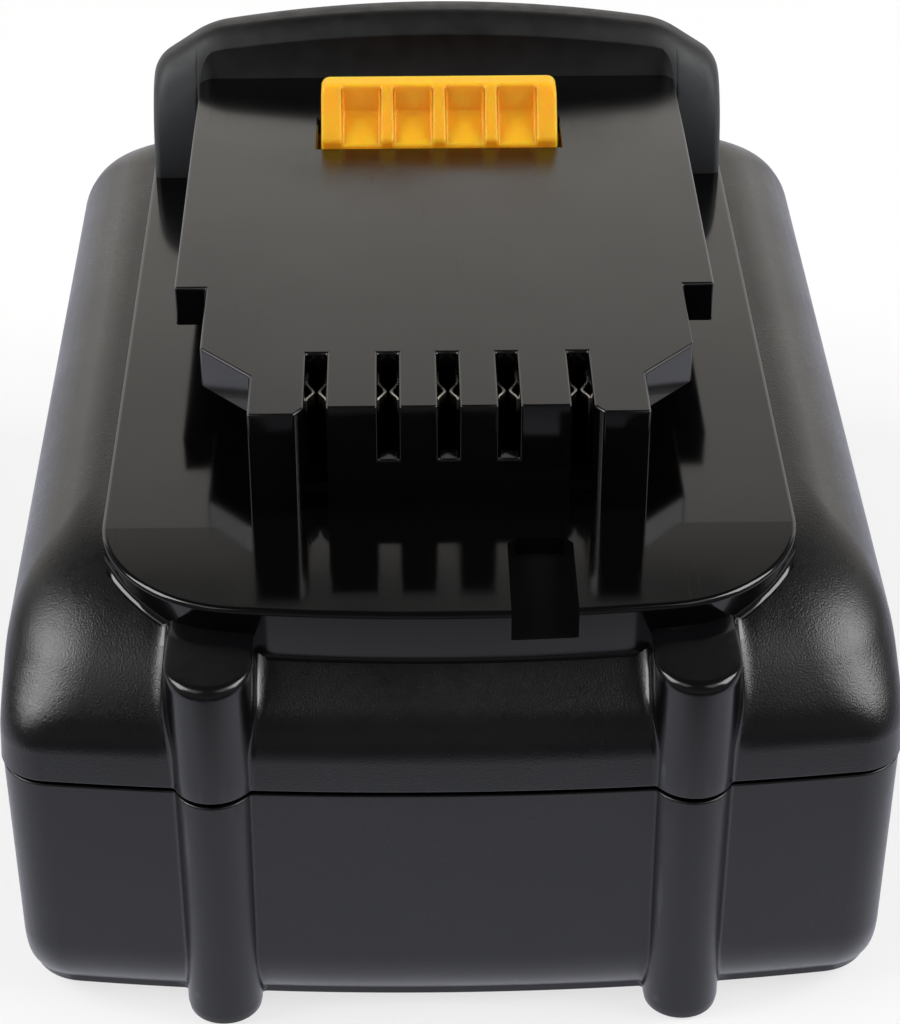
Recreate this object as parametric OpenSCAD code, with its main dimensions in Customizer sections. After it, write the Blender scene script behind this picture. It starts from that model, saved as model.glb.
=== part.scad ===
// Slide-on battery pack for cordless power tools: ten round cells, 5 in series and 2 in parallel.
// The front, with the terminal slots, faces -Y. The release latch and its hood are at the +Y end.

/* [Cells] */
// Diameter of one cell in its sleeve
cell_d = 18.35; // [17.5:0.05:19]
// Length of one cell
cell_l = 65; // [62:0.5:68]
// Gap between neighbouring cells
cell_gap = 0.2; // [0.1:0.05:1]
// Radial clearance of a cell in its holder
cell_fit = 0.04; // [0.02:0.01:0.04]
// Distance of the cell block behind the pack's middle
cell_shift = 0.4; // [0:0.1:0.5]
// Diameter of the raised positive cap
cap_d = 8; // [6:0.5:9]
// Height of the raised positive cap
cap_h = 0.5; // [0.3:0.1:0.8]

/* [Cell holders and strips] */
// Depth of the holder collars along the cells
holder_depth = 8.5; // [5:0.5:9]
// Thickness of the holder's end web
holder_web = 1.2; // [1:0.1:2]
// Holder wall past the outermost cell
holder_wall = 0.45; // [0.3:0.05:0.8]
// Height by which a cell stands clear of the holder's top and bottom
holder_relief = 0.75; // [0.6:0.05:1.5]
// Diameter of the weld holes in the holder's end web
weld_hole_d = 13; // [11:0.5:15]
// Thickness of the nickel strips
strip_t = 0.25; // [0.15:0.05:0.4]
// Width of a strip across one cell
strip_w = 10; // [8:0.5:10.5]
// Diameter of the dished weld spots of a strip
weld_d = 7; // [5:0.5:9]
// Thickness of the insulating sheets
sheet_t = 0.3; // [0.2:0.1:0.5]
// Margin of the insulating sheets past the strips
sheet_margin = 1.2; // [0.5:0.1:1.5]
// Thickness of the foam side pads
pad_t = 1.95; // [1.5:0.05:3]

/* [Case] */
// Thickness of the case walls
wall_t = 2; // [1.8:0.1:2.4]
// Thickness of the floor
floor_t = 1.6; // [1.2:0.1:2.5]
// Thickness of the deck
deck_t = 1.5; // [1.2:0.1:2]
// Height of the parting line
part_z = 26; // [22:0.5:27]
// Step of the lower case in from the upper case at the parting line
part_step = 0.35; // [0.2:0.05:0.6]
// Height of the tongue along the parting line
tongue_h = 1.4; // [0.8:0.1:2]
// Room between the cells and the end walls
end_room = 2.4; // [2.2:0.1:4]
// Room above the cells for the flat leads
top_room = 0.8; // [0.7:0.1:1.5]
// Corner radius of the case, seen from above
corner_r = 6.5; // [5:0.5:8]
// Bow of the front and back faces
end_bow = 1.5; // [0.5:0.1:1.5]
// Radius of the bottom edge
bottom_r = 2.6; // [1.5:0.1:3]
// Clearance between parts that fit together
clearance = 0.15; // [0.1:0.05:0.25]

/* [Shoulder] */
// Height of the deck above the shoulder
shoulder_step = 0.4; // [0.2:0.1:0.8]
// Height of the top at which the front shoulder starts to curve, above the parting line
shoulder_low = 3; // [2:0.5:4]
// Length of the front shoulder
front_run = 17; // [15:0.5:17.5]
// Radius of the front edge of the shoulder
front_r = 6; // [4:0.5:7]
// Width of the side bevel
side_run = 6; // [4:0.5:6.5]
// Fall of the side bevel
side_fall = 3.4; // [2:0.1:4]
// Radius below the side bevel
side_r = 5; // [3:0.5:6]
// Radius of the back edge of the shoulder
back_r = 4; // [2:0.5:5]
// Extra corner radius at the top of the shoulder
corner_grow = 2.5; // [1:0.5:3]

/* [Deck] */
// Width of the deck
deck_w = 61.8; // [58:0.2:63]
// Distance of the deck's front edge from the front face
deck_setback = 5.75; // [5:0.25:8]
// Corner radius of the deck
deck_corner_r = 13.5; // [9:0.5:15]
// Bow of the deck's front edge
deck_bow = 0.9; // [0.2:0.1:1.5]
// Fall of the deck's front strip
deck_fall = 0.35; // [0.1:0.05:0.4]
// Width of the deck's falling front strip
deck_fall_run = 13.3; // [8:0.1:14]
// Width of the lock notch
notch_w = 6.4; // [4:0.1:8]
// Centre of the lock notch to the right of the middle
notch_x = 8.7; // [6:0.1:10]
// Length of the lock notch from the deck's front edge
notch_l = 11.5; // [8:0.5:13]
// Depth of the lock notch
notch_depth = 1.7; // [1:0.1:1.8]

/* [Rail tower] */
// Height of the tower above the deck
tower_h = 10.2; // [9.8:0.1:12]
// Distance of the tower's front from the deck's front edge
tower_setback = 15.6; // [14.5:0.1:17]
// Thickness of the rail flanges
flange_t = 4.1; // [3:0.1:4.5]
// Width over the wide flanges
flange_w = 50.8; // [48:0.2:54]
// Width over the narrow flanges
narrow_w = 44.8; // [42:0.2:46]
// Width of the tower below the flanges
core_w = 35.4; // [34.4:0.2:38]
// Length of the tower's plain front end
plain_l = 6.6; // [5:0.1:8]
// Length of the diagonal flange ends
diagonal_l = 5.05; // [3:0.05:6]
// Distance of the wide flanges from the tower's front
wide_start = 22.95; // [18:0.05:25]
// Thickness of the tower's side walls
tower_wall = 2; // [1.5:0.1:2.4]
// Thickness of the tower's top
tower_top_t = 2; // [1.5:0.1:2.2]
// Depth of the recessed middle of the tower's front
recess_depth = 1.05; // [0.5:0.05:1.2]
// Width of the recessed middle of the tower's front
recess_w = 28; // [27:0.2:29]

/* [Terminals] */
// Width of the terminal slots
slot_w = 1.9; // [1.5:0.1:2.3]
// Length of the terminal slots from the tower's front
slot_l = 10.65; // [8:0.05:12]
// Distance of the inner slots from the middle
inner_slot_x = 5.35; // [4.5:0.05:6]
// Distance of the outer slots from the middle
outer_slot_x = 11.8; // [10.5:0.05:12]
// Height of the inner slots' lower end above the deck
slot_sill = 4.65; // [4:0.05:5]
// Thickness of the spring leaves
leaf_t = 0.4; // [0.3:0.05:0.6]
// Opening between the leaves where they pinch a blade
pinch_gap = 0.5; // [0.3:0.05:0.8]
// Outer width of a terminal clip
clip_w = 3; // [2.6:0.1:3.6]
// Length of a terminal clip
clip_l = 12; // [10:0.5:14]

/* [Hood] */
// Distance of the hood's front wall from the back face
hood_depth = 11.4; // [10.5:0.1:13]
// Height of the hood above the tower
hood_rise = 4.9; // [4:0.1:6]
// Fall of the hood's crown from its middle to its sides
hood_crown = 2.6; // [1:0.1:3.5]
// Corner radius of the hood, seen from the front
hood_corner_r = 6; // [4:0.5:8]
// Radius of the hood's back edge
hood_back_r = 5; // [3:0.5:6]
// Thickness of the hood's walls
hood_wall = 2; // [1.5:0.1:2.4]

/* [Release latch] */
// Width of the latch hook
latch_w = 24.2; // [22:0.2:24.4]
// Length of the latch hook
latch_l = 6.4; // [5.5:0.1:7]
// Distance of the hook's front from the hood's front wall
latch_setback = 16.8; // [15:0.1:18]
// Height of the hook above the tower
latch_rise = 4.9; // [4:0.1:4.9]
// Number of ribs on the hook
rib_count = 5; // [3:1:7]
// Thickness of a rib
rib_t = 1.7; // [1.2:0.1:2]
// Depth of the hook's flat top
bar_l = 2.2; // [1.5:0.1:2.6]
// Clearance round the hook in the tower's top
latch_gap = 0.4; // [0.25:0.05:0.6]
// Width of the thumb pad at the back
thumb_w = 22; // [18:0.5:26]
// Height of the thumb pad
thumb_h = 5.2; // [4:0.1:5.5]
// Thickness of the latch's inner plate
plate_t = 3; // [2.5:0.1:3.2]
// Distance of each spring from the middle
spring_x = 8.5; // [7:0.5:10]
// Outer diameter of a spring
spring_d = 4.6; // [3.5:0.1:5]
// Wire diameter of a spring
wire_d = 0.45; // [0.3:0.05:0.5]
// Turns of a spring
spring_turns = 5; // [4:0.5:5]

/* [Screws] */
// Thread diameter of the case screws
screw_d = 2.5; // [2:0.1:2.6]
// Head diameter of the case screws
screw_head_d = 4.2; // [3.8:0.1:4.4]
// Head height of the case screws
screw_head_h = 1.6; // [1.2:0.1:2]
// Depth of a screw head below the bottom
screw_sink = 0.6; // [0.3:0.1:1]
// Distance of each pillar from the middle
pillar_x = 20.4; // [19:0.1:21.5]
// Radius of the pillars at the parting line
pillar_r = 3.5; // [3.2:0.1:4]
// Height by which a pillar stands out from the end face
pillar_proud = 1.3; // [1:0.1:2]
// Taper of a pillar's radius towards the bottom
pillar_taper = 0.45; // [0.2:0.05:0.5]
// Height of the pillar's shelf below the deck
shelf_drop = 2.7; // [1.5:0.1:4]
// Radius of the shelf's edge
shelf_r = 1.4; // [0.8:0.1:1.6]

/* [Circuit board] */
// Thickness of the circuit board
board_t = 1.4; // [1:0.1:1.6]
// Height of the board above the cells
board_lift = 1.9; // [1.7:0.1:2.1]
// Length of the circuit board
board_l = 45; // [42:0.5:46]
// Diameter of the board screws
board_screw_d = 2; // [1.6:0.1:2.2]
// Least gap between the board and the latch's plate
board_gap = 0.5; // [0.4:0.1:2]
// Gap between the chips on the board
chip_gap = 3; // [2:0.5:4]
// Width of a switching transistor
switch_w = 6.4; // [5:0.2:7]
// Length of a switching transistor
switch_l = 6; // [5:0.2:7]
// Height of a switching transistor
switch_h = 2.3; // [1.5:0.1:2.5]
// Width of the square control chip
control_w = 7; // [5:0.5:8]
// Height of the control chip
control_h = 1; // [0.8:0.1:1.6]
// Width of a sense resistor
sense_w = 2; // [1.6:0.1:2.5]
// Length of a sense resistor
sense_l = 3.2; // [2.5:0.1:4]
// Height of a sense resistor
sense_h = 1.2; // [0.8:0.1:1.6]
// Height of the terminal block
block_h = 2; // [1.5:0.1:2.5]
// Width of the flat power leads
strap_w = 3.5; // [2.5:0.5:3.5]
// Thickness of the flat power leads
strap_t = 0.35; // [0.2:0.05:0.45]
// Diameter of the balance leads
lead_d = 1; // [0.8:0.1:1.1]

/* [Hidden] */
$fn = 64;
slice_t = 0.01;
hood_slice_t = 0.2;
over = 1;
sides = [-1, 1];
side_names = ["left", "right"];
columns = 5;
layers = 2;
cell_count = columns * layers;
cell_r = cell_d / 2;
pitch = cell_d + cell_gap;
low_row_z = floor_t + cell_gap + cell_r;
cells_top_z = low_row_z + pitch * (layers - 1) + cell_r;
cells_half_l = pitch * (columns - 1) / 2 + cell_r;
cells_end_x = cell_l / 2;
web_x = cells_end_x + cap_h + clearance;
strip_x = web_x + holder_web;
sheet_x = strip_x + strip_t + clearance;
pad_x = sheet_x + sheet_t;
inner_x = pad_x + pad_t + clearance;
half_w = inner_x + wall_t + part_step;
plate_lip = 2;
tower_row_l = deck_setback + tower_setback + recess_depth + tower_wall + clearance + board_l + board_gap
    + plate_lip + latch_setback + hood_depth;
end_y = max(cells_half_l + end_room + wall_t + part_step, tower_row_l / 2);
upper_wall = wall_t - part_step;
deck_z = cells_top_z + top_room + deck_t;
deck_under_z = deck_z - deck_t;
shoulder_z = deck_z - shoulder_step;
low_z = part_z + shoulder_low;
tower_z = deck_z + tower_h;
tower_under_z = tower_z - tower_top_t;
flange_z = tower_z - flange_t;
hood_z = tower_z + hood_rise;
deck_front_y = -end_y + deck_setback;
tower_front_y = deck_front_y + tower_setback;
recess_y = tower_front_y + recess_depth;
slot_end_y = tower_front_y + slot_l;
hood_front_y = end_y - hood_depth;
hood_back_y = end_y - part_step;
latch_front_y = hood_front_y - latch_setback;
latch_back_y = latch_front_y + latch_l;
latch_z = tower_z + latch_rise;
latch_travel = latch_rise;
pillar_y = end_y + pillar_proud - pillar_r;
boss_flat_y = cells_half_l + cell_shift + clearance;
shelf_z = deck_z - shelf_drop;
screw_tip_z = shelf_z - shelf_r - over;
screw_seat_z = screw_sink + screw_head_h;
tower_in_x = core_w / 2 - tower_wall;
tower_in_y = recess_y + tower_wall;
board_z = cells_top_z + board_lift;
board_top_z = board_z + board_t;
board_front_y = tower_in_y + clearance;
board_back_y = board_front_y + board_l;
board_half_w = tower_in_x - clearance;
board_boss_r = board_screw_d / 2 + 1.2;
board_boss_x = board_half_w - board_boss_r - clearance;
clip_front_y = board_front_y + clearance;
clip_back_y = clip_front_y + clip_l;
board_boss_ys = [clip_back_y + board_boss_r + 2 * clearance, board_back_y - board_boss_r - clearance];
clip_top_z = tower_under_z - clearance;
slots = [-outer_slot_x, -inner_slot_x, 0, inner_slot_x, outer_slot_x];
terminal_names = ["negative", "thermistor", "middle", "data", "positive"];
plate_top_z = tower_under_z - clearance;
plate_z = plate_top_z - plate_t;
plate_half_w = tower_in_x - latch_gap;
plate_front_y = latch_front_y - plate_lip;
plate_back_y = latch_back_y + 2 * plate_lip;
base_t = 1;
base_z = cells_top_z + clearance;
spring_z = base_z + base_t;
spring_pocket = 1.8;
spring_top_z = plate_z + spring_pocket;
spring_h = spring_top_z - spring_z;
spring_y = (plate_front_y + plate_back_y) / 2;
spigot_d = spring_d - 2 * wire_d - 4 * clearance;
spigot_h = 1.2;
thumb_z = hood_z - hood_rise / 2 - thumb_h;
thumb_back_y = hood_back_y - clearance;
thumb_front_y = hood_back_y - hood_wall - over;
neck_half_w = thumb_w / 2 - plate_lip;
window_z = thumb_z - latch_travel - latch_gap;
strips_top_z = low_row_z + pitch * (layers - 1) + strip_w / 2;
lead_z = strips_top_z + 2 * lead_d;
lead_start_z = strips_top_z - 2 * lead_d;
strap_z = cells_top_z + (top_room - strap_t) / 2;
strap_tab = 3;
strap_start_z = strips_top_z - 2 * strap_w;
strap_x = strip_x + strip_t;
strap_run_x = board_half_w + strap_w;
board_head_d = board_screw_d * 1.8;

function column_y(i) = cell_shift + (i - (columns - 1) / 2) * pitch;
function row_z(j) = low_row_z + j * pitch;
function valley_y(i) = column_y(i) + pitch / 2;

// Rounded ring seen from above: half width, front and back ends, corner radius, bow of the ends
function arc(cx, cy, r, from, to, steps) =
    [for (k = [0:steps]) let (a = from + (to - from) * k / steps) [cx + r * cos(a), cy + r * sin(a)]];
function bowed(half, y, bow, dir, steps) =
    [for (k = [1:steps - 1]) let (t = dir * (2 * k / steps - 1)) [half * t, y + bow * t * t]];
function ring(hw, front, back, r, bow) = concat(
    bowed(hw - r, front, bow, 1, 8),
    arc(hw - r, front + bow + r, r, -90, 0, 6),
    arc(hw - r, back - bow - r, r, 0, 90, 6),
    bowed(hw - r, back, -bow, -1, 8),
    arc(r - hw, back - bow - r, r, 90, 180, 6),
    arc(r - hw, front + bow + r, r, 180, 270, 6));

// How far the shoulder has drawn in at a height, at the front, the sides and the back
shoulder_h = shoulder_z - low_z;
front_turn = 2 * atan((shoulder_h - front_r) / (front_run - front_r));
front_big_r = front_r + (front_run - front_r) / sin(front_turn);
side_slope = atan(side_fall / side_run);
side_reach = side_r * tan((90 - side_slope) / 2);
side_line_z = shoulder_z - side_fall;
function sagitta(r, h) = r - sqrt(max(0, r * r - h * h));
function front_in(z) = z <= low_z ? 0
    : z - low_z < front_r * cos(front_turn) ? sagitta(front_r, z - low_z)
    : front_run - sqrt(max(0, pow(front_big_r, 2) - pow(z - shoulder_z + front_big_r, 2)));
function side_in(z) = z <= side_line_z - side_reach ? 0
    : z < side_line_z + side_reach * sin(side_slope) ? sagitta(side_r, z - side_line_z + side_reach)
    : (z - side_line_z) / tan(side_slope);
function back_in(z) = z <= shoulder_z - back_r ? 0 : sagitta(back_r, z - shoulder_z + back_r);
function corner_at(z) = corner_r + corner_grow * max(0, z - low_z) / shoulder_h;

module case_ring(inset) {
    polygon(ring(half_w - inset, inset - end_y, end_y - inset, corner_r - inset / 2, end_bow));
}

module shoulder_slice(z, inset) {
    linear_extrude(slice_t)
        polygon(ring(half_w - inset - side_in(z), inset + front_in(z) - end_y,
            end_y - inset - back_in(z), corner_at(z) - inset / 2, end_bow));
}

// The upper case's rounded body, drawn in by a wall and lowered by a deck's thickness
module shoulder_body(inset, lower) {
    levels = 10;
    hull() {
        translate([0, 0, part_z]) shoulder_slice(part_z, inset);
        for (k = [0:levels]) {
            z = low_z + shoulder_h * sin(90 * k / levels);
            translate([0, 0, z - lower - slice_t]) shoulder_slice(z, inset);
        }
    }
}

module deck_outline(inset) {
    hw = deck_w / 2 - inset;
    front = deck_front_y + inset;
    r = deck_corner_r - inset;
    back = hood_back_y - inset;
    polygon(concat(
        bowed(hw - r, front, deck_bow, 1, 8),
        arc(hw - r, front + deck_bow + r, r, -90, 0, 12),
        [[hw, back], [-hw, back]],
        arc(r - hw, front + deck_bow + r, r, 180, 270, 12)));
}

module flange_outline() {
    w = flange_w / 2;
    n = narrow_w / 2;
    c = core_w / 2;
    y1 = tower_front_y + plain_l;
    y2 = y1 + diagonal_l;
    y3 = tower_front_y + wide_start;
    back = hood_front_y + hood_wall;
    right = [[c, tower_front_y], [c, y1], [n, y2], [n, y3], [w, y3], [w, back]];
    left = [for (k = [len(right) - 1:-1:0]) [-right[k][0], right[k][1]]];
    polygon(concat(right, left));
}

module front_recess() {
    half = recess_w / 2;
    polygon([[-half - recess_depth, tower_front_y - slice_t], [half + recess_depth, tower_front_y - slice_t],
        [half, recess_y], [-half, recess_y]]);
}

// Front view of the hood: flat sides, a crowned top and round corners
module hood_outline(drop) {
    hw = deck_w / 2;
    top = hood_z - drop;
    r = hood_corner_r;
    crown = concat(
        arc(hw - r, top - hood_crown - r, r, 0, 70, 6),
        bowed_top(hw - r, top, 8),
        arc(r - hw, top - hood_crown - r, r, 110, 180, 6));
    polygon(concat([[-hw, deck_z - deck_t], [hw, deck_z - deck_t]], crown));
}
function bowed_top(half, top, steps) =
    [for (k = [1:steps - 1]) let (t = 1 - 2 * k / steps) [half * t, top - hood_crown * t * t]];

module hood_slice(y, drop) {
    translate([0, y, 0]) rotate([90, 0, 0]) linear_extrude(hood_slice_t) hood_outline(drop);
}

module hood_body() {
    levels = 5;
    hull() {
        hood_slice(hood_front_y + hood_slice_t, 0);
        for (k = [0:levels]) {
            a = 90 * k / levels;
            hood_slice(hood_back_y - hood_back_r * (1 - sin(a)), hood_back_r * (1 - cos(a)));
        }
    }
}

module at_pillars() {
    for (x = sides, y = sides) translate([x * pillar_x, y * pillar_y, 0]) children();
}

// Keeps the inside of a pillar clear of the cells
module clear_of_cells() {
    difference() {
        children();
        translate([-half_w, -boss_flat_y, screw_seat_z + over])
            cube([2 * half_w, 2 * boss_flat_y, deck_z]);
    }
}

module cell_space(extra) {
    for (i = [0:columns - 1], j = [0:layers - 1])
        translate([-cells_end_x, column_y(i), row_z(j)]) rotate([0, 90, 0])
            cylinder(r = cell_r + extra, h = cell_l);
}

module lower_case() {
    color("#303136") difference() {
        union() {
            difference() {
                hull() {
                    for (a = [0:18:90]) translate([0, 0, bottom_r * (1 - sin(a))])
                        linear_extrude(slice_t) case_ring(part_step + bottom_r * (1 - cos(a)));
                    translate([0, 0, part_z - slice_t]) linear_extrude(slice_t) case_ring(part_step);
                }
                translate([0, 0, floor_t]) linear_extrude(part_z) case_ring(part_step + wall_t);
            }
            tongue();
            clear_of_cells() at_pillars()
                cylinder(r1 = pillar_r - pillar_taper, r2 = pillar_r, h = part_z);
        }
        at_pillars() {
            translate([0, 0, -over]) cylinder(d = screw_d + 2 * clearance, h = part_z + 2 * over);
            translate([0, 0, -over]) cylinder(d = screw_head_d + 2 * clearance, h = screw_seat_z + over);
        }
    }
}

// Thin wall on the lower case that lines up the two halves
module tongue() {
    outer = upper_wall / 2 + part_step + clearance;
    difference() {
        translate([0, 0, part_z - over]) linear_extrude(tongue_h + over) case_ring(outer);
        translate([0, 0, part_z - 2 * over]) linear_extrude(tongue_h + 3 * over)
            case_ring(part_step + wall_t);
        at_pillars() translate([0, 0, part_z]) cylinder(r = pillar_r + 2 * clearance, h = tongue_h + over);
    }
}

module upper_case() {
    color("#34353a") difference() {
        union() {
            difference() {
                union() {
                    shoulder_body(0, 0);
                    translate([0, 0, low_z]) linear_extrude(deck_z - low_z) deck_outline(0);
                    tower_solid();
                    intersection() {
                        hood_body();
                        linear_extrude(2 * hood_z) case_ring(part_step);
                    }
                }
                case_space();
            }
            clear_of_cells() upper_pillars();
            board_bosses();
        }
        deck_fall_cut();
        notch();
        terminal_slots();
        latch_opening();
        at_pillars() translate([0, 0, part_z - over])
            cylinder(d = screw_d, h = screw_tip_z + over / 2 - part_z + over);
        board_screw_holes();
    }
}

module tower_solid() {
    difference() {
        union() {
            translate([0, 0, flange_z]) linear_extrude(flange_t) flange_outline();
            translate([-core_w / 2, tower_front_y, deck_under_z])
                cube([core_w, hood_front_y + hood_wall - tower_front_y, tower_z - deck_under_z]);
        }
        translate([0, 0, deck_z]) linear_extrude(tower_h + over) front_recess();
    }
}

// The hollow inside of the upper case
module case_space() {
    shoulder_body(upper_wall, deck_t);
    translate([0, 0, part_z - over]) linear_extrude(tongue_h + over + clearance)
        case_ring(upper_wall / 2 + part_step);
    cell_space(clearance);
    difference() {
        translate([0, 0, low_z]) linear_extrude(deck_under_z - low_z) deck_outline(wall_t);
        notch_floor();
    }
    translate([-tower_in_x, tower_in_y, low_z])
        cube([2 * tower_in_x, hood_front_y + hood_wall - tower_in_y + over, tower_under_z - low_z]);
    translate([-deck_w / 2 + 2 * hood_wall, hood_front_y + hood_wall, low_z])
        cube([deck_w - 4 * hood_wall, hood_back_y - hood_front_y - 2 * hood_wall,
            hood_z - hood_wall - hood_crown - low_z]);
}

// A pad of material left below the lock notch
module notch_floor() {
    translate([notch_x - notch_w / 2 - wall_t, deck_front_y, cells_top_z + clearance])
        cube([notch_w + 2 * wall_t, notch_l + wall_t + deck_bow, deck_z]);
}

module notch() {
    r = 1;
    translate([notch_x, 0, deck_z - notch_depth]) linear_extrude(notch_depth + over) union() {
        translate([-notch_w / 2, deck_front_y - over]) square([notch_w, notch_l + over - r]);
        translate([r - notch_w / 2, deck_front_y - over]) square([notch_w - 2 * r, notch_l + over]);
        for (x = sides) translate([x * (notch_w / 2 - r), deck_front_y + notch_l - r]) circle(r);
    }
}

// The deck's front strip falls a little towards its edge
module deck_fall_cut() {
    translate([0, deck_front_y + deck_fall_run, deck_z]) rotate([atan(deck_fall / deck_fall_run), 0, 0])
        translate([-half_w, -2 * deck_fall_run, 0]) cube([2 * half_w, 2 * deck_fall_run, over]);
}

module terminal_slots() {
    for (x = slots) {
        sill = abs(x) > inner_slot_x ? deck_z : deck_z + slot_sill;
        translate([x - slot_w / 2, tower_front_y - over, sill])
            cube([slot_w, slot_end_y - tower_front_y + over, tower_z - sill + over]);
    }
}

module latch_opening() {
    translate([-latch_w / 2 - latch_gap, latch_front_y - latch_gap, tower_under_z - over])
        cube([latch_w + 2 * latch_gap, latch_l + 2 * latch_gap, tower_top_t + 2 * over]);
    translate([-thumb_w / 2 - latch_gap, hood_back_y - hood_wall - over, window_z])
        cube([thumb_w + 2 * latch_gap, hood_wall + 2 * over + part_step,
            thumb_z + thumb_h + latch_gap - window_z]);
}

module upper_pillars() {
    at_pillars() translate([0, 0, part_z]) {
        cylinder(r = pillar_r, h = shelf_z - part_z - shelf_r);
        cylinder(r = pillar_r - shelf_r, h = shelf_z - part_z);
        translate([0, 0, shelf_z - part_z - shelf_r])
            rotate_extrude() translate([pillar_r - shelf_r, 0]) circle(shelf_r);
    }
    for (x = sides, y = sides) {
        inner_y = end_y - deck_setback - wall_t;
        translate([x * pillar_x - pillar_r + shelf_r / 2, min(y * pillar_y, y * inner_y), shelf_z - over])
            cube([2 * pillar_r - shelf_r, pillar_y - inner_y, over]);
    }
}

// Posts inside the tower that the board screws pull up against
module board_bosses() {
    for (x = sides, y = board_boss_ys) translate([x * board_boss_x, y, board_top_z])
        cylinder(r = board_boss_r, h = tower_under_z - board_top_z + slice_t);
}

module board_screw_holes() {
    for (x = sides, y = board_boss_ys) translate([x * board_boss_x, y, board_top_z - over])
        cylinder(d = board_screw_d, h = block_h + 2 * over);
}

module release_latch() {
    color("#f5b41e") difference() {
        union() {
            hook();
            translate([-plate_half_w, plate_front_y, plate_z])
                cube([2 * plate_half_w, plate_back_y - plate_front_y, plate_t]);
            translate([-neck_half_w, plate_back_y - over, plate_z])
                cube([2 * neck_half_w, thumb_front_y - plate_back_y + 2 * over, plate_t]);
            thumb_pad();
        }
        for (x = sides) translate([x * spring_x, spring_y, plate_z - over])
            cylinder(d = spring_d + 4 * clearance, h = spring_pocket + over);
    }
}

// Ramped hook with open pockets between its ribs
module hook() {
    foot_z = tower_z + rib_t / 3;
    bar_y = latch_back_y - bar_l;
    pocket_z = tower_z + latch_rise * 0.45;
    step = (latch_w - rib_t) / (rib_count - 1);
    difference() {
        translate([-latch_w / 2, 0, 0]) rotate([90, 0, 90]) linear_extrude(latch_w)
            polygon([[latch_front_y, plate_z], [latch_back_y, plate_z], [latch_back_y, latch_z],
                [bar_y, latch_z], [latch_front_y, foot_z]]);
        for (k = [0:rib_count - 2])
            translate([-latch_w / 2 + rib_t + k * step, 0, 0]) rotate([90, 0, 90])
                linear_extrude(step - rib_t)
                    polygon([[latch_front_y - over, tower_z - over / 2], [bar_y, pocket_z],
                        [bar_y, latch_z + over], [latch_front_y - over, latch_z + over]]);
    }
}

// Pad that the thumb pushes down, in the window at the back of the hood
module thumb_pad() {
    grooves = 3;
    groove_d = 0.8;
    translate([-thumb_w / 2, thumb_front_y, thumb_z]) difference() {
        cube([thumb_w, thumb_back_y - thumb_front_y, thumb_h]);
        for (k = [1:grooves]) translate([0, thumb_back_y - thumb_front_y, k * thumb_h / (grooves + 1)])
            rotate([0, 90, 0]) translate([0, 0, -over]) cylinder(d = groove_d, h = thumb_w + 2 * over);
    }
    translate([-neck_half_w, thumb_front_y, plate_z])
        cube([2 * neck_half_w, over - clearance, thumb_z - plate_z + over]);
}

// Plate on the cells that carries the latch springs
module latch_base() {
    color("#3c3f45") {
        translate([-plate_half_w, plate_front_y, base_z])
            cube([2 * plate_half_w, plate_back_y - plate_front_y, base_t]);
        for (x = sides) translate([x * spring_x, spring_y, spring_z]) cylinder(d = spigot_d, h = spigot_h);
    }
}

// A coil as one tube swept along a helix
module latch_spring(x) {
    rings_per_turn = 8;
    tube_sides = 6;
    coil_r = (spring_d - wire_d) / 2;
    rings = spring_turns * rings_per_turn;
    rise = spring_h - wire_d - 2 * clearance;
    points = [for (k = [0:rings], s = [0:tube_sides - 1]) let (
        a = 360 * k / rings_per_turn, b = 360 * s / tube_sides, rr = coil_r + wire_d / 2 * cos(b))
        [rr * cos(a), rr * sin(a), wire_d / 2 + clearance + rise * k / rings + wire_d / 2 * sin(b)]];
    walls = [for (k = [0:rings - 1], s = [0:tube_sides - 1]) let (
        n = (s + 1) % tube_sides, p = k * tube_sides, q = p + tube_sides)
        each [[p + s, p + n, q + n], [p + s, q + n, q + s]]];
    ends = [for (s = [1:tube_sides - 2]) each
        [[0, s + 1, s], [rings * tube_sides, rings * tube_sides + s, rings * tube_sides + s + 1]]];
    color("silver") translate([x * spring_x, spring_y, spring_z]) polyhedron(points, concat(walls, ends));
}

module case_screws() {
    drive_d = 1.8;
    drive_share = 0.6;
    color("#8d9094") at_pillars() difference() {
        union() {
            translate([0, 0, screw_sink]) cylinder(d = screw_head_d, h = screw_head_h);
            translate([0, 0, screw_seat_z - slice_t])
                cylinder(d = screw_d, h = screw_tip_z - screw_seat_z + slice_t);
        }
        translate([0, 0, screw_sink - over])
            cylinder(d = drive_d, h = screw_head_h * drive_share + over, $fn = 6);
    }
}

// Cells in one column share a direction, and neighbouring columns are turned about
module cell(i, j) {
    groove_x = 3;
    groove_r = 0.35;
    flip = i % 2 == 0 ? 1 : -1;
    color("#3f7f8c") translate([0, column_y(i), row_z(j)]) rotate([0, 90 * flip, 0]) {
        difference() {
            translate([0, 0, -cells_end_x]) cylinder(d = cell_d, h = cell_l);
            translate([0, 0, cells_end_x - groove_x]) rotate_extrude()
                translate([cell_r, 0]) circle(groove_r);
        }
        translate([0, 0, cells_end_x - slice_t]) cylinder(d = cap_d, h = cap_h + slice_t);
    }
}

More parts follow.
